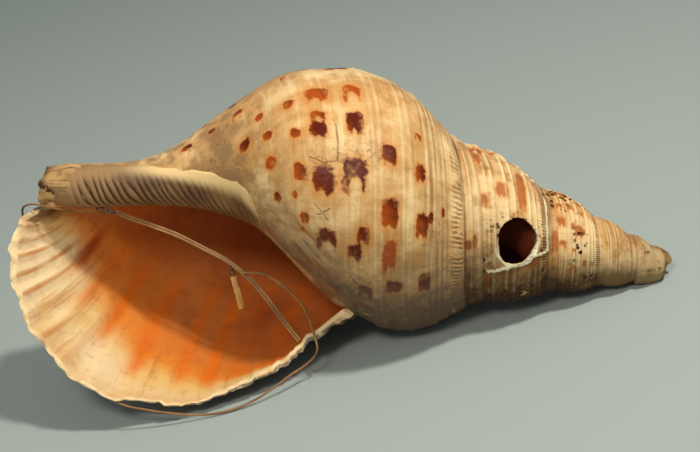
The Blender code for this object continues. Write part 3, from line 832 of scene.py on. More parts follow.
def apart(turn, share, route, turn_mm, share_mm):
    """Distance in mm from a line over the shell, with the mm that a unit of turn and of share measure."""
    spot = turn.vector(turn * turn_mm, share * share_mm)
    least = 99.0
    corners = [Vector((t * turn_mm, s * share_mm, 0)) for t, s in route]
    for first, last in zip(corners[:-1], corners[1:]):
        way = (last - first).normalized()
        from_first = spot.vectors("SUBTRACT", {0: spot, 1: first})
        run = spot.vectors("DOT_PRODUCT", {0: from_first, 1: way}, 1)
        run = spot.node("ShaderNodeClamp", {"Value": run, "Min": 0.0, "Max": (last - first).length})
        foot = spot.vectors("SCALE", {0: way, 3: run})
        away = spot.vectors("DISTANCE", {0: from_first, 1: foot}, 1)
        least = away.math("MINIMUM", least)
    return least


def phased(share):
    """How many of the lip's flutes lie between the canal's tip and a share. They crowd towards the canal."""
    return (((2.0 - share) * FLUTE_CROWDING + 1.0).math("LOGARITHM", math.e)) * FLUTE_COUNT


def corded(turn, share, wider=1.0):
    """Height in mm of the narrow cords, on the last whorl and on the spire."""
    spire = turn.between(-0.98, -1.06)
    total = 0.0
    for table, there in ((CORDS, 1 - spire), (SPIRE_CORDS, spire)):
        row = 0.0
        for centre, half, high in table:
            row = share.hump(centre, half * wider) * high + row
        total = row * there + total
    return total


turn, share, inner = field("turn"), field("share"), field("inner")
spot = flow.node("GeometryNodeInputPosition")
shoulder_only = 1 - share.between(0.96, 1.04)
size = flow.node("ShaderNodeMath", {0: GROWTH, 1: turn}, operation="POWER")
outer_only = 1 - inner.math("GREATER_THAN", 0.4)
cords = corded(turn, share)
seam = share.hump(0.0, 0.10) + share.hump(1.0, 0.10) * turn.math("LESS_THAN", -1.0)
groove = share.hump(GROOVE_SHARE, 0.020) * shoulder_only
band = share.hump(BAND_SHARE, 0.075)
wrinkle = flow.vector(turn * 55.0, share * 2.5).noise(1.0, 4.0) - 0.5
near_lip = turn.between(-0.11, 0.0) * (1 - share.between(3.0, 3.1))
flutes = (phased(share) * -2 * math.pi).math("COSINE") * -1.0
flutes = flutes * (0.35 + 0.65 * share.between(0.9, 1.5)) * share.between(0.2, 0.5)
rough = spot.noise(24.0, 2.0) - 0.5
pitted = spot.noise(170.0, 4.0) - 0.5
worn = share.between(1.84, 1.95) * (1 - share.between(3.0, 3.1)) * outer_only
apex = turn.between(-3.4, -4.6)
coarser = 1.3 + 0.9 * turn.between(-1.0, -1.4)
outside_height = (cords * taken["Cord height"] * size * coarser
                  + seam * 1.3 * size
                  + band * 0.9 * size
                  - groove * taken["Suture depth"] * size
                  + wrinkle * 0.5 * size)
bare = 1 - field("glaze")
scar = apart(turn, share, SCAR, *SCAR_MM).between(2.4, 0.2)
gnawed = turn.between(-0.75, -0.92) * share.between(1.91, 1.97) * spot.noise(90.0, 3.0).between(0.40, 0.5)
height = (outside_height * outer_only * bare
          + scar * 0.4 * outer_only
          + flutes * near_lip * taken["Flute height"] * (outer_only * 2.0 - 1.0)
          + rough * taken["Unevenness"] * (0.4 + 0.6 * outer_only)
          + pitted * (0.35 + worn * 3.2 + apex * 0.9) * outer_only * bare
          + (spot.noise(110.0, 3.0) - 0.5) * worn * 9.0
          - gnawed * outer_only * 2.2)
normal = flow.node("GeometryNodeInputNormal")
push = flow.vectors("SCALE", {0: normal, 3: height * MM})
moved = flow.node("GeometryNodeSetPosition", {"Geometry": taken["Geometry"], "Offset": push})
kept = flow.node("GeometryNodeStoreNamedAttribute", {"Geometry": moved, "Name": "relief", "Value": height})
send(relief, kept)


def settled(piece):
    """A plain mesh of what a piece's modifiers make of it."""
    view = bpy.context.evaluated_depsgraph_get()
    seen = piece.evaluated_get(view)
    return bpy.data.meshes.new_from_object(seen, preserve_all_data_layers=True, depsgraph=view)


def grown(raw, tree, name, **inputs):
    """A plain mesh from what a tree of geometry nodes makes of an object's data, with named inputs."""
    source = in_scene(name + "_source", raw)
    step = source.modifiers.new("grow", "NODES")
    step.node_group = tree
    for item in tree.interface.items_tree:
        key = item.name.replace(" ", "_")
        if item.in_out == "INPUT" and key in inputs:
            step[item.identifier] = inputs[key]
    made = settled(source)
    made.name = name
    bpy.data.objects.remove(source)
    return made


form = grown(form, relief, "shell_body", Cord_height=1.2, Suture_depth=1.5, Flute_height=0.9, Unevenness=1.6)
where = np.zeros(len(form.vertices) * 3)
form.vertices.foreach_get("co", where)
where = where.reshape(-1, 3)
where[:, 2] = np.maximum(where[:, 2], 0.0)
form.vertices.foreach_set("co", where.ravel())
# How far each point faces up, kept for the outside's painted shade on the underside
facing = np.zeros(len(form.vertices) * 3)
form.vertices.foreach_get("normal", facing)
keep(form, facing=facing[2::3])


def shell_outside():
    """Weathered porcelain-like shell: cream and tan in spiral bands, with red-brown marks and black pits."""
    made, flow, shader = finish("shell_outside")
    turn, share, _ = flow.laid("Spiral")
    place = flow.place()
    mark = flow.kept("mark")
    dark = flow.kept("darkness")
    high = flow.kept("relief")
    facing = flow.kept("facing")
    rim = flow.kept("rim")
    broad = place.noise(15.0, 3.0)
    cloud = place.noise(55.0, 4.0)
    mottle = place.noise(120.0, 4.0)
    grit = place.noise(420.0, 4.0)
    blotch = place.noise(30.0, 4.0)
    streak = flow.vector(turn * 9.0, share * 42.0).noise(1.0, 4.0)
    line = flow.vector(turn * 130.0, share * 5.0).noise(1.0, 4.0)
    down = flow.vector(turn * 60.0, share * 3.0, place.parts()[0] * 20.0).noise(1.0, 3.0)
    spire = turn.between(-1.02, -1.35).math("MAXIMUM", share.between(0.145, 0.125))
    scar = apart(turn + (mottle - 0.5) * 0.010, share + (cloud - 0.5) * 0.04, SCAR, *SCAR_MM)
    crack = 9.0
    for route in CRACKS:
        crack = apart(turn + (mottle - 0.5) * 0.010, share, route, *CRACK_MM).math("MINIMUM", crack)
    # Painted shade, with some stain: darker where the surface faces down and close to the floor, broken up by
    # noise
    low = (facing - spire * 0.25 + (broad - 0.5) * 0.9 + (cloud - 0.5) * 0.5).between(0.22, -0.55)
    low = low.math("MAXIMUM", place.parts()[2].between(0.034, 0.006) * 0.5)

    # Ground: cream, with tan and orange clouds, browner towards the apex and towards the canal
    colour = cloud.between(0.36, 0.66).mix(linear(204, 158, 100), linear(240, 206, 148))
    colour = (broad.between(0.42, 0.62) * 0.60).mix(colour, linear(214, 152, 80))
    narrow = share.between(0.62, 0.40) * (1 - spire)
    strong = 0.30 + 0.35 * spire + 0.30 * narrow
    colour = (streak.between(0.52, 0.68) * strong).mix(colour, linear(172, 108, 54))
    colour = (streak.between(0.44, 0.34) * 0.30).mix(colour, linear(252, 232, 184))
    gutter = (corded(turn, share, 2.6) - corded(turn, share, 1.3) * 1.4).math("MAXIMUM", 0.0)
    strong = 0.35 + 0.8 * narrow + 0.3 * spire
    gutter = (gutter * streak.between(0.30, 0.60) * strong).math("MINIMUM", 0.75)
    colour = gutter.mix(colour, linear(140, 98, 58))
    crest = (corded(turn, share) * (0.5 + 0.5 * spire)).math("MINIMUM", 0.8)
    colour = crest.mix(colour, linear(250, 222, 168))
    colour = (spire * cloud.between(0.50, 0.70) * 0.55).mix(colour, linear(188, 118, 58))
    colour = (spire * blotch.between(0.50, 0.36) * 0.65).mix(colour, linear(246, 216, 160))
    colour = (line.between(0.55, 0.70) * 0.18).mix(colour, linear(146, 100, 58))
    colour = (down.between(0.60, 0.72) * 0.30).mix(colour, linear(126, 88, 52))
    colour = (mottle.between(0.54, 0.68) * (0.35 + 0.35 * spire)).mix(colour, linear(170, 120, 66))
    back = share.between(1.10, 1.45)
    colour = (back * mottle.between(0.46, 0.60) * 0.6).mix(colour, linear(136, 112, 82))
    colour = (back * blotch.between(0.42, 0.60) * 0.75).mix(colour, linear(164, 124, 78))

    # Marks: red-brown with a dark heart and an orange halo
    edge = (cloud - 0.5) * 0.9 + (mottle - 0.5) * 0.6 + (grit - 0.5) * 0.6
    inside = (mark + edge).between(-0.02, 0.26)
    halo = (mark + edge).between(-0.45, 0.1) * 0.55
    colour = halo.mix(colour, linear(216, 138, 58))
    heart = (dark + (cloud - 0.5) * 0.9 + (mottle - 0.5) * 1.2).between(0.20, 1.0)
    blot = heart.mix(linear(172, 78, 22), linear(96, 30, 12))
    worn = 1 - mottle.between(0.56, 0.70) * 0.55
    colour = (inside * worn * (1.0 - 0.30 * spire)).mix(colour, blot)

    # Crimped band below the suture, the suture's dirt, darker colour in the hollows of the relief and paler
    # on its crests
    rib = share.hump(BAND_SHARE, 0.072) * turn.between(-4.2, -3.6)
    crimp = (turn + (mottle - 0.5) * 0.016 + (cloud - 0.5) * 0.012).wave(118.0) * mottle.between(0.32, 0.46)
    dirty = blotch.between(0.35, 0.62)
    colour = (rib * dirty * 0.6).mix(colour, linear(208, 162, 104))
    colour = (rib * crimp.between(0.6, 0.98) * (0.55 + 0.40 * dirty)).mix(colour, linear(116, 70, 36))
    seam = share.hump(GROOVE_SHARE, 0.013)
    colour = (seam * (0.30 + 0.50 * dirty)).mix(colour, linear(84, 54, 32))
    colour = (high.between(-0.15, -0.9) * (0.35 + 0.35 * spire)).mix(colour, linear(110, 66, 34))
    colour = (high.between(0.35, 1.3) * 0.35).mix(colour, linear(250, 222, 168))

    # Black pits on the spire, grime and painted shade darkening the underside and the parts near the floor,
    # and a worn brown-grey end to the canal
    dots = flow.node("ShaderNodeTexVoronoi", {"Vector": place, "Scale": 300.0}, 0, feature="F1")
    patch = place.noise(38.0, 2.0).between(0.48, 0.58)
    pit = dots.between(0.40, 0.26) * patch * (0.08 + 0.92 * turn.between(-1.15, -1.5))
    pit = pit * (1 - 0.85 * place.parts()[2].between(0.058, 0.068))
    colour = pit.mix(colour, linear(30, 20, 14))
    # Grime and painted shade: the down-facing, low parts mixed towards grey-brown, with some random dirt on
    # top
    grime_and_shade = low * (0.72 + 0.38 * blotch.between(0.35, 0.6)) + blotch.between(0.56, 0.70) * 0.32
    dust_and_shade = spire.mix(linear(102, 84, 70), linear(68, 49, 36))
    colour = (grime_and_shade * (0.66 + 0.40 * grit)).math("MINIMUM", 0.94).mix(colour, dust_and_shade)
    hairs = mottle.hump(0.50, 0.020) * blotch.between(0.53, 0.60) * (1 - spire)
    colour = (hairs * 0.55).mix(colour, linear(92, 62, 40))
    around = share.between(1.00, 1.10) * turn.between(-0.79, -0.88) * (1 - share.between(1.3, 1.4))
    wrinkled = flow.vector(turn * 24.0, share * 24.0 - turn * 60.0).noise(1.0, 3.0)
    colour = (around * wrinkled.between(0.48, 0.60) * 0.85).mix(colour, linear(142, 80, 38))
    colour = (around * cloud.between(0.5, 0.62) * 0.5).mix(colour, linear(110, 92, 70))
    end = share.between(1.74, 1.92)
    colour = (end * 0.8).mix(colour, linear(182, 144, 96))
    colour = (end * blotch.between(0.52, 0.64) * 0.80).mix(colour, linear(80, 60, 42))
    colour = (end * line.between(0.60, 0.64) * 0.8).mix(colour, linear(48, 34, 24))
    broken = share.between(1.90, 1.985) + turn.between(-0.72, -0.95)
    broken = broken + (cloud - 0.5) * 2.4 + (grit - 0.5) * 0.8
    colour = broken.between(1.36, 1.50).mix(colour, linear(212, 172, 118))
    colour = (broken.hump(1.30, 0.12) * end).mix(colour, linear(66, 44, 30))

    tip = turn.between(-3.2, -4.2)
    colour = (tip * (0.35 + 0.45 * blotch.between(0.4, 0.6))).mix(colour, linear(148, 116, 78))
    healed = (scar + (grit - 0.5) * 1.2 + (blotch - 0.5) * 1.2).between(0.95, 0.5)
    colour = (healed * 0.85).mix(colour, linear(252, 236, 198))
    shade = (scar - (cloud - 0.5) * 4.0).between(5.0, 2.0) * (1 - healed)
    colour = (shade * 0.45).mix(colour, linear(120, 70, 32))
    split = crack.between(0.32, 0.10) * (0.3 + 0.7 * grit.between(0.4, 0.6))
    colour = (split * 0.65).mix(colour, linear(66, 42, 28))
    chipped = (rim + (cloud - 0.5) * 0.40).between(1.18, 1.10) * place.parts()[2].between(0.055, 0.042)
    colour = (chipped * 0.95).mix(colour, linear(252, 238, 204))

    bumps = (line - 0.5) * 0.28 + (grit - 0.5) * 0.35 - pit * 1.6 + rib * crimp * 0.9
    bumps = bumps + healed * 0.8 - crack.between(0.5, 0.1)
    bump = flow.bump(bumps, 0.8, 0.0008)
    gloss = 0.24 + 0.24 * cloud + 0.28 * spire + 0.35 * low + 0.4 * end - 0.06 * inside
    feed(flow, shader, Base_Color=colour, Roughness=gloss, Normal=bump)
    shader.inputs["Specular IOR Level"].default_value = 0.10
    return made


# Orange rays inside the lip: share along it, half width, how far in they start in turns, strength
RAYS = ((1.650, 0.040, 0.085, 1.0), (1.494, 0.050, 0.060, 0.9), (1.325, 0.050, 0.050, 0.9),
        (1.131, 0.060, 0.035, 0.95), (0.931, 0.050, 0.030, 0.8), (0.781, 0.060, 0.022, 0.95),
        (0.640, 0.060, 0.020, 0.6), (0.450, 0.080, 0.016, 0.6))


def shell_inside():
    """Glazed inside: ivory at the lip, orange rays in its flutes, orange and red-brown in the throat, with
    painted shade deep in the throat and in the canal's slit.
    """
    made, flow, shader = finish("shell_inside")
    turn, share, _ = flow.laid("Spiral")
    place = flow.place()
    cloud = place.noise(38.0, 4.0)
    fine = place.noise(190.0, 4.0)
    wide = place.noise(14.0, 2.0)
    depth = turn * -1.0
    blurred = depth + (cloud - 0.5) * 0.03
    grain = flow.vector(turn * 14.0, share * 30.0).noise(1.0, 4.0)

    # The cream zone is deeper at the canal's end of the lip than at the suture's
    limit = ((share - 0.4) * 0.8).math("MAXIMUM", 0.0).math("POWER", 1.6) * 0.13 + 0.012
    inner = (depth + (cloud - 0.5) * 0.02) / limit
    colour = inner.node("ShaderNodeValToRGB", {"Fac": inner * 0.2}, stops=(
        (0.0, linear(232, 190, 134)), (0.05, linear(240, 206, 146)), (0.13, linear(236, 190, 112)),
        (0.21, linear(232, 140, 52)), (0.32, linear(214, 120, 46)), (0.50, linear(212, 124, 56)),
        (1.0, linear(198, 108, 50))))
    pale = (wide + (cloud - 0.5) * 0.5).between(0.44, 0.60) * inner.between(1.0, 0.6)
    colour = (pale * 0.65).mix(colour, linear(248, 226, 182))
    # Darker red-brown deeper in the throat: partly the shell's colour, partly painted shade
    colour = depth.between(0.18, 0.46).mix(colour, linear(124, 56, 32))
    rays = 0.0
    for centre, half, start, strong in RAYS:
        shifted = share + (cloud - 0.5) * 0.06 + (wide - 0.5) * 0.05
        rays = shifted.hump(centre, half * 1.25) * blurred.between(start * 0.7, start * 1.5) * strong + rays
    rays = rays.math("MINIMUM", 1.0)
    colour = (rays * (1 - blurred.between(0.14, 0.2)) * 0.88).mix(colour, linear(228, 112, 24))
    colour = (share.hump(1.66, 0.05) * blurred.hump(0.14, 0.06)).mix(colour, linear(146, 30, 8))
    lines = (phased(share) * 2 * math.pi).math("COSINE").between(0.2, 1.0)
    faint = lines * share.between(1.25, 1.5) * (1 - blurred.between(0.10, 0.16)) * grain.between(0.3, 0.6)
    colour = (faint * 0.8).mix(colour, linear(200, 134, 70))
    colour = ((grain.between(0.56, 0.70) * 0.40)).mix(colour, linear(196, 104, 44))
    colour = (fine.between(0.5, 0.7) * 0.20).mix(colour, linear(150, 84, 44))
    colour = (cloud.between(0.48, 0.66) * depth.between(0.05, 0.12) * 0.40).mix(colour, linear(158, 78, 36))

    # Painted shadow where the canal's slit is narrowest, dark brown
    slit_shadow = share.between(1.89, 1.97) * share.between(2.5, 2.4)
    colour = (slit_shadow * 0.70).mix(colour, linear(74, 46, 28))

    # Columella's side: beige by the inner lip, then orange-brown
    column = share.between(3.4, 3.6)
    colour = (column * depth.between(0.12, 0.0) * 0.8).mix(colour, linear(190, 132, 78))
    bump = flow.bump(fine * 0.5 + grain, 0.25, 0.0006)
    feed(flow, shader, Base_Color=colour, Roughness=0.26 + 0.25 * cloud, Normal=bump)
    shader.inputs["Specular IOR Level"].default_value = 0.4
    return made


def shell_edge():
    """Broken shell: chalky layers at the lip's edge and the blow hole, cream inside, greyer outside."""
    made, flow, shader = finish("shell_edge")
    thick, share, _ = flow.laid("Spiral")
    place = flow.place()
    layers = place.noise(300.0, 5.0)
    colour = layers.between(0.30, 0.70).mix(linear(234, 194, 134), linear(248, 222, 170))
    colour = (place.noise(60.0, 3.0).between(0.5, 0.7) * 0.6).mix(colour, linear(168, 120, 70))
    outer = thick.between(0.55, 0.35) * share.between(0.02, 0.10) * (1 - share.between(0.75, 1.1))
    colour = (outer * 0.85 * layers.between(0.3, 0.5)).mix(colour, linear(92, 84, 76))
    # Painted shadow in the gap by the canal's tip, dark brown
    colour = (share.between(1.965, 1.985) * 0.8).mix(colour, linear(84, 60, 42))
    bump = flow.bump(layers, 0.4, 0.0006)
    feed(flow, shader, Base_Color=colour, Roughness=0.7 - layers * 0.15, Normal=bump)
    return made


for skin in (shell_outside(), shell_inside(), shell_edge()):
    form.materials.append(skin)

# Blow hole: pecked through the side of the last whorl but one, uneven, with a thin raw rim
HOLE_DISTANCE = 105.0
HOLE_AZIMUTH = math.radians(-3.0)
HOLE_SIZE = (20.8, 24.4)
HOLE_REACH = (24.0, 48.0)
plug = bmesh.new()
bmesh.ops.create_cone(plug, cap_ends=True, segments=96, radius1=0.94, radius2=1.06, depth=1)
for point in plug.verts:
    angle = math.atan2(point.co.y, point.co.x)
    uneven = 1 + 0.035 * math.sin(3 * angle + 0.6) + 0.025 * math.sin(5 * angle)
    uneven += 0.008 * math.sin(13 * angle + 2) + 0.006 * math.sin(23 * angle)
    point.co.x *= HOLE_SIZE[0] / 2 * uneven
    point.co.y *= HOLE_SIZE[1] / 2 * uneven
    point.co.z = sum(HOLE_REACH) / 2 + point.co.z * (HOLE_REACH[1] - HOLE_REACH[0])
plug_form = bpy.data.meshes.new("plug")
plug.to_mesh(plug_form)
plug.free()
out = Vector((0, -math.cos(HOLE_AZIMUTH), math.sin(HOLE_AZIMUTH)))
side = Vector((1, 0, 0))
lie = Matrix((side, out.cross(side), out)).transposed().to_4x4()
hole_frame = REST @ Matrix.Translation((-HOLE_DISTANCE, 0, 0)) @ lie
plug_form.transform(hole_frame)
spots = np.ones((len(form.vertices), 4))
spots[:, :3] = where
spots = spots @ np.array(hole_frame.inverted()).T
rim = np.hypot(spots[:, 0] / HOLE_SIZE[0] * 2, spots[:, 1] / HOLE_SIZE[1] * 2) + 9 * (spots[:, 2] < 15)
keep(form, rim=rim)
plug_form.materials.append(form.materials[EDGE])
plug_piece = in_scene("plug", plug_form)
shell = in_scene("shell_body", form)
step = shell.modifiers.new("blow hole", "BOOLEAN")
step.operation = "DIFFERENCE"
step.solver = "EXACT"
step.material_mode = "TRANSFER"
step.object = plug_piece
shell.data = settled(shell)
shell.modifiers.clear()
bpy.data.objects.remove(plug_piece)
shell.data.shade_smooth()
shell.data.set_sharp_from_angle(angle=math.radians(55))
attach(shell, "root")
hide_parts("shell")

# Inner lip
# A glaze over the columella and the mouth's inner side, ivory to brown, with slanted ridges that it has
# grown over dark grooves. It is a closed sheet on the shell's own curves, thicker at the ridges.
RIDGE_PITCH = 4.2
LIP_ENDS = (1.003, 1.955)
INWARD = 0.055
GLAZE_LEVEL = -0.58
RIDGE_HEIGHT = 1.2
GLAZE_DEPTH = 1.6
LONG_STEPS, WIDE_STEPS = 420, 44
lengthwise = np.linspace(*LIP_ENDS, LONG_STEPS)
widthwise = np.linspace(-1, 1, WIDE_STEPS)
column = bases(np.full(1, -1.0), lengthwise - 1)[0]
column[0] = SUTURE
bed = np.empty((LONG_STEPS, WIDE_STEPS, 3))
for j, v in enumerate(widthwise):
    now = np.full(LONG_STEPS, INWARD * v) if v < 0 else -1 + glazed(lengthwise) * v
    if v < 0:
        here = column * growth(now)[:, None]
    else:
        here = bases(now, np.append(0.0, lengthwise - 1))[range(LONG_STEPS), range(1, LONG_STEPS + 1)]
    bed[:, j] = place(here[:, None], now)[:, 0]
run = np.concatenate([[0], np.cumsum(np.linalg.norm(np.diff(bed[:, WIDE_STEPS // 2], axis=0), axis=1))])
normals = np.cross(np.gradient(bed, axis=0), np.gradient(bed, axis=1))
normals = normals / (np.linalg.norm(normals, axis=2, keepdims=True) + 1e-9)
way = outward(column[None])[0]
azimuth = math.radians(LIP_AZIMUTH)
way = np.stack([-way[:, 0], -way[:, 1] * math.cos(azimuth), way[:, 1] * math.sin(azimuth)], 1)
normals = normals * np.sign(np.sum(normals[:, WIDE_STEPS // 2] * way))

slant = ease(lengthwise, 1.2, 1.6)[:, None]
phase = run[:, None] / RIDGE_PITCH - (0.6 + 2.4 * slant) * widthwise
phase = phase + 0.18 * np.sin(run[:, None] * 0.21) + 0.10 * np.sin(run[:, None] * 0.53 + 1)
fade = ease(widthwise, -1.0, -0.7) * (1 - ease(widthwise, 0.45, 0.92))
fade = fade * (0.35 + 0.65 * slant) * (1 - ease(lengthwise, 1.86, 1.95))[:, None]
ridges = (0.5 + 0.5 * np.cos(2 * math.pi * phase)) ** 0.6
swell = 1 - np.abs(widthwise) ** (1.3 + 2.7 * slant)
ends = (ease(lengthwise, 1.0, 1.06) * (1 - ease(lengthwise, 1.90, LIP_ENDS[1])))[:, None]
lift = GLAZE_LEVEL + 0.16 * slant + (0.45 + swell * 0.75) * ends + fade * (ridges - 0.55) * RIDGE_HEIGHT
front, behind = bed + normals * lift[..., None], bed - normals * GLAZE_DEPTH
points = np.concatenate([front.reshape(-1, 3), behind.reshape(-1, 3)])
numbers = np.arange(LONG_STEPS * WIDE_STEPS).reshape(LONG_STEPS, WIDE_STEPS)
under = numbers + numbers.size
around = np.concatenate([numbers[:-1, 0], numbers[-1, :-1], numbers[:0:-1, -1], numbers[0, :0:-1]])
below = around + numbers.size


def quads(rows):
    return np.stack([rows[:-1, :-1], rows[1:, :-1], rows[1:, 1:], rows[:-1, 1:]], 2).reshape(-1, 4)


rim = np.stack([around, below, np.roll(below, -1), np.roll(around, -1)], 1)
faces = np.concatenate([quads(numbers), quads(under)[:, ::-1], rim[:, ::-1]])
glaze_form = bpy.data.meshes.new("inner_lip")
glaze_form.from_pydata(points, [], faces.tolist())
glaze_form.transform(REST)
keep(glaze_form,
     ridge=np.tile((ridges * fade + (1 - fade)).ravel(), 2),
     depth=np.tile((widthwise + 0 * ridges).ravel(), 2),
     share=np.tile((lengthwise[:, None] + 0 * ridges).ravel(), 2))
closed = bmesh.new()
closed.from_mesh(glaze_form)
bmesh.ops.recalc_face_normals(closed, faces=closed.faces)
closed.to_mesh(glaze_form)
closed.free()


def glaze_finish():
    """The inner lip: ivory at its outer side, beige ridges over brown grooves, orange-brown inside."""
    made, flow, shader = finish("inner_lip")
    ridge = flow.kept("ridge")
    depth = flow.kept("depth")
    share = flow.kept("share")
    place = flow.place()
    cloud = place.noise(50.0, 4.0)
    fine = place.noise(260.0, 4.0)
    left = share.between(1.62, 1.85)
    right = share.between(1.36, 1.22)
    colour = cloud.between(0.35, 0.65).mix(linear(102, 72, 42), linear(140, 104, 64))
    colour = (depth.between(0.66, 0.90) * (1 - left) * (1 - right)).mix(colour, linear(236, 202, 142))
    colour = (left * (0.4 + 0.5 * cloud.between(0.35, 0.6))).mix(colour, linear(160, 126, 84))
    beige = cloud.between(0.38, 0.62).mix(linear(134, 98, 60), linear(196, 154, 100))
    colour = (right * 0.85).mix(colour, beige)
    wrinkle = flow.vector(share * 60.0 + depth * 2.0, depth * 1.6).noise(1.0, 4.0)
    colour = (right * wrinkle.between(0.50, 0.64) * 0.75).mix(colour, linear(154, 94, 48))
    colour = (depth.between(0.1, -0.6) * 0.8).mix(colour, linear(146, 78, 36))
    dark = ridge.between(0.66, 0.22)
    colour = (dark * (0.9 - 0.35 * right)).mix(colour, linear(60, 34, 20))
    bump = flow.bump(fine, 0.3, 0.0005)
    feed(flow, shader, Base_Color=colour, Roughness=0.42 + cloud * 0.25 + left * 0.2, Normal=bump)
    shader.inputs["Specular IOR Level"].default_value = 0.35
    return made


glaze_form.materials.append(glaze_finish())
glaze_form.shade_smooth()
inner_lip = in_scene("inner_lip", glaze_form)
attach(inner_lip, "root")
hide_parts("shell")

# Knots, binding and toggle
# A tuft of twisted fibre ties the cane in the canal. A flat straw-coloured splinter hangs from the strip
# by a wound thread.
binding, flow, taken = growing("binding", "Turns", "Radius", "Height", "Thread", finish="Finish")
coil = flow.node("GeometryNodeCurveSpiral", {
    "Resolution": 22, "Rotations": taken["Turns"], "Start Radius": taken["Radius"],
    "End Radius": taken["Radius"] * 0.86, "Height": taken["Height"]})
loose = flow.node("GeometryNodeInputPosition").noise(700.0, 2.0, result=1)
loose = flow.vectors("SUBTRACT", {0: loose, 1: (0.5, 0.5, 0.5)})
loose = flow.vectors("SCALE", {0: loose, 3: taken["Thread"] * 1.6})
coil = flow.node("GeometryNodeSetPosition", {"Geometry": coil, "Offset": loose})
thread = flow.node("GeometryNodeCurvePrimitiveCircle", {"Resolution": 6, "Radius": taken["Thread"]},
                   mode="RADIUS")
wound = flow.node("GeometryNodeCurveToMesh", {"Curve": coil, "Profile Curve": thread, "Fill Caps": True})
wound = flow.node("GeometryNodeRealizeInstances", {"Geometry": wound})
wound = flow.node("GeometryNodeSetMaterial", {"Geometry": wound, "Material": taken["Finish"]})
send(binding, wound)


def fibre_finish():
    """Dry twisted plant fibre, matte brown with paler strands."""
    made, flow, shader = finish("fibre")
    place = flow.place()
    strand = place.noise(900.0, 3.0)
    colour = strand.between(0.35, 0.7).mix(linear(84, 50, 30), linear(160, 108, 70))
    bump = flow.bump(strand, 0.5, 0.0003)
    feed(flow, shader, Base_Color=colour, Roughness=0.8 + strand * 0.1, Normal=bump)
    return made


fibre = fibre_finish()
empty = bpy.data.meshes.new("nothing")
KNOT_PLACE = (-120.2, -11.3, 93.3)
KNOT_WAY = (0.90, 0.02, -0.42)
seed = np.random.default_rng(5)
share = np.linspace(0, 1, 60)
knot_way = np.array(KNOT_WAY) / np.linalg.norm(KNOT_WAY)
beside = np.cross(knot_way, (0, 1, 0))
beside = beside / np.linalg.norm(beside)
above = np.cross(knot_way, beside)
tuft = Strands()
ring = np.stack([np.cos(np.arange(7) * 2 * math.pi / 7), np.sin(np.arange(7) * 2 * math.pi / 7)], 1)
for i in range(5):
    angle = 2 * math.pi * (1.7 * share + i / 5) + 0.5 * np.sin(share * 7 + i)
    bulge = 1.15 * np.sin(math.pi * (0.10 + 0.80 * share)) ** 0.7
    path = np.array(KNOT_PLACE) + np.outer((share - 0.5) * (8.6 + 0.5 * i), knot_way)
    path = path + np.outer(bulge * np.cos(angle), beside) + np.outer(bulge * np.sin(angle), above)
    tuft.add(path, face, ring * 0.66, width=0.45 + 0.55 * np.sin(math.pi * (0.06 + 0.88 * share)))
for i in range(9):
    start = np.array(KNOT_PLACE) + knot_way * seed.uniform(-4, 4)
    lean = knot_way * seed.choice((-1, 1)) + seed.uniform(-0.7, 0.7, 3)
    bend = seed.uniform(-1.2, 1.2, 3)
    way = np.linspace(0, 1, 14)[:, None]
    path = start + lean * way * seed.uniform(2.5, 5.0) + bend * way**2
    tuft.add(path, (0.1, 0.2, 1), ring * 0.13, width=1 - 0.6 * way[:, 0])
knot = tuft.piece("canal_knot_wound", fibre)
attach(knot, "root")
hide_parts("canal_knot")

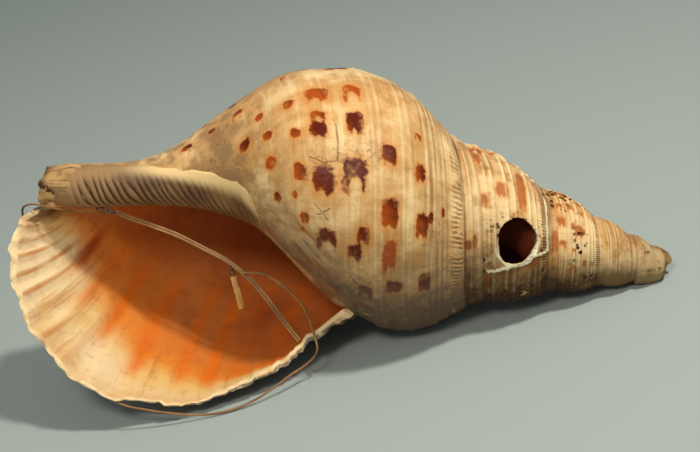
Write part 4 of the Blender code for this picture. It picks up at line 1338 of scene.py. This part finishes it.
TIE_PLACE = (-59.8, -23.5, 53.7)
tie_form = grown(empty, binding, "toggle_tie_wound", Turns=8.0, Radius=1.15 * MM, Height=5.0 * MM,
                 Thread=0.34 * MM, Finish=fibre)
tie_form.transform(Matrix.Translation((Vector(TIE_PLACE) + Vector((0, 0, -2.6))) * MM))
loose = Strands()
for i in range(7):
    way = np.linspace(0, 1, 12)[:, None]
    lean = np.array((seed.uniform(-1, 1), seed.uniform(-0.6, 0.2), seed.uniform(0.2, 1.2)))
    path = np.array(TIE_PLACE) + (0, -0.6, 1.5) + lean * way * seed.uniform(1.5, 2.6)
    path = path + (0.5, 0, -0.6) * way**2
    loose.add(path, (0.1, 0.9, 0.1), ring * 0.12, width=1 - 0.5 * way[:, 0])
way = np.linspace(0, 1, 24)[:, None]
sliver = np.array(TIE_PLACE) + (0, -1.2, 0.3) + (-12.4, -0.4, -5.6) * way + (0, 0, 1.2) * np.sin(way * 3.1)
loose.add(sliver, (0.1, 0.9, 0.1), ring * 0.16, width=1 - 0.5 * way[:, 0])
tie = loose.piece("toggle_tie_wound", fibre)
joined = bmesh.new()
joined.from_mesh(tie.data)
joined.from_mesh(tie_form)
joined.to_mesh(tie.data)
joined.free()
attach(tie, "root")
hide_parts("toggle_tie")

TOGGLE_TOP = (-59.8, -23.5, 50.4)
TOGGLE_LENGTH = 20.0


def straw_finish():
    """Dry straw-coloured wood with fine dark grain along it."""
    made, flow, shader = finish("straw")
    along, around, _ = flow.laid("Length")
    grain = flow.vector(along * 0.12, around * 14.0).noise(1.0, 4.0)
    colour = grain.between(0.35, 0.65).mix(linear(188, 136, 70), linear(238, 194, 120))
    bump = flow.bump(grain, 0.5, 0.0003)
    feed(flow, shader, Base_Color=colour, Roughness=0.65 - grain * 0.15, Normal=bump)
    return made


slat = Strands()
down = np.linspace(0, 1, 40)
middle = np.array(TOGGLE_TOP) + np.stack([0 * down, 0 * down, -TOGGLE_LENGTH * down], 1)
taper = 1 - 0.22 * down + 0.05 * np.sin(down * 31)
blade = np.array([(-1.5, -0.32), (-1.1, -0.5), (0.2, -0.55), (1.2, -0.42), (1.55, -0.1),
                  (1.5, 0.32), (0.6, 0.5), (-0.9, 0.46), (-1.45, 0.2)])
slat.add(middle, face, blade, width=taper)
splint = np.array([(-0.28, -0.2), (0.28, -0.2), (0.3, 0.18), (-0.25, 0.2)])
slat.add(middle[14:38] + (0.25, 0, 0), face, splint, aside=np.linspace(-1.25, -1.75, 24),
         width=np.linspace(1.0, 0.5, 24))
toggle = slat.piece("toggle_splinter", straw_finish())
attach(toggle, "root")
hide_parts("toggle")

(strip_path * MM).tolist()
(loop_path * MM).tolist()
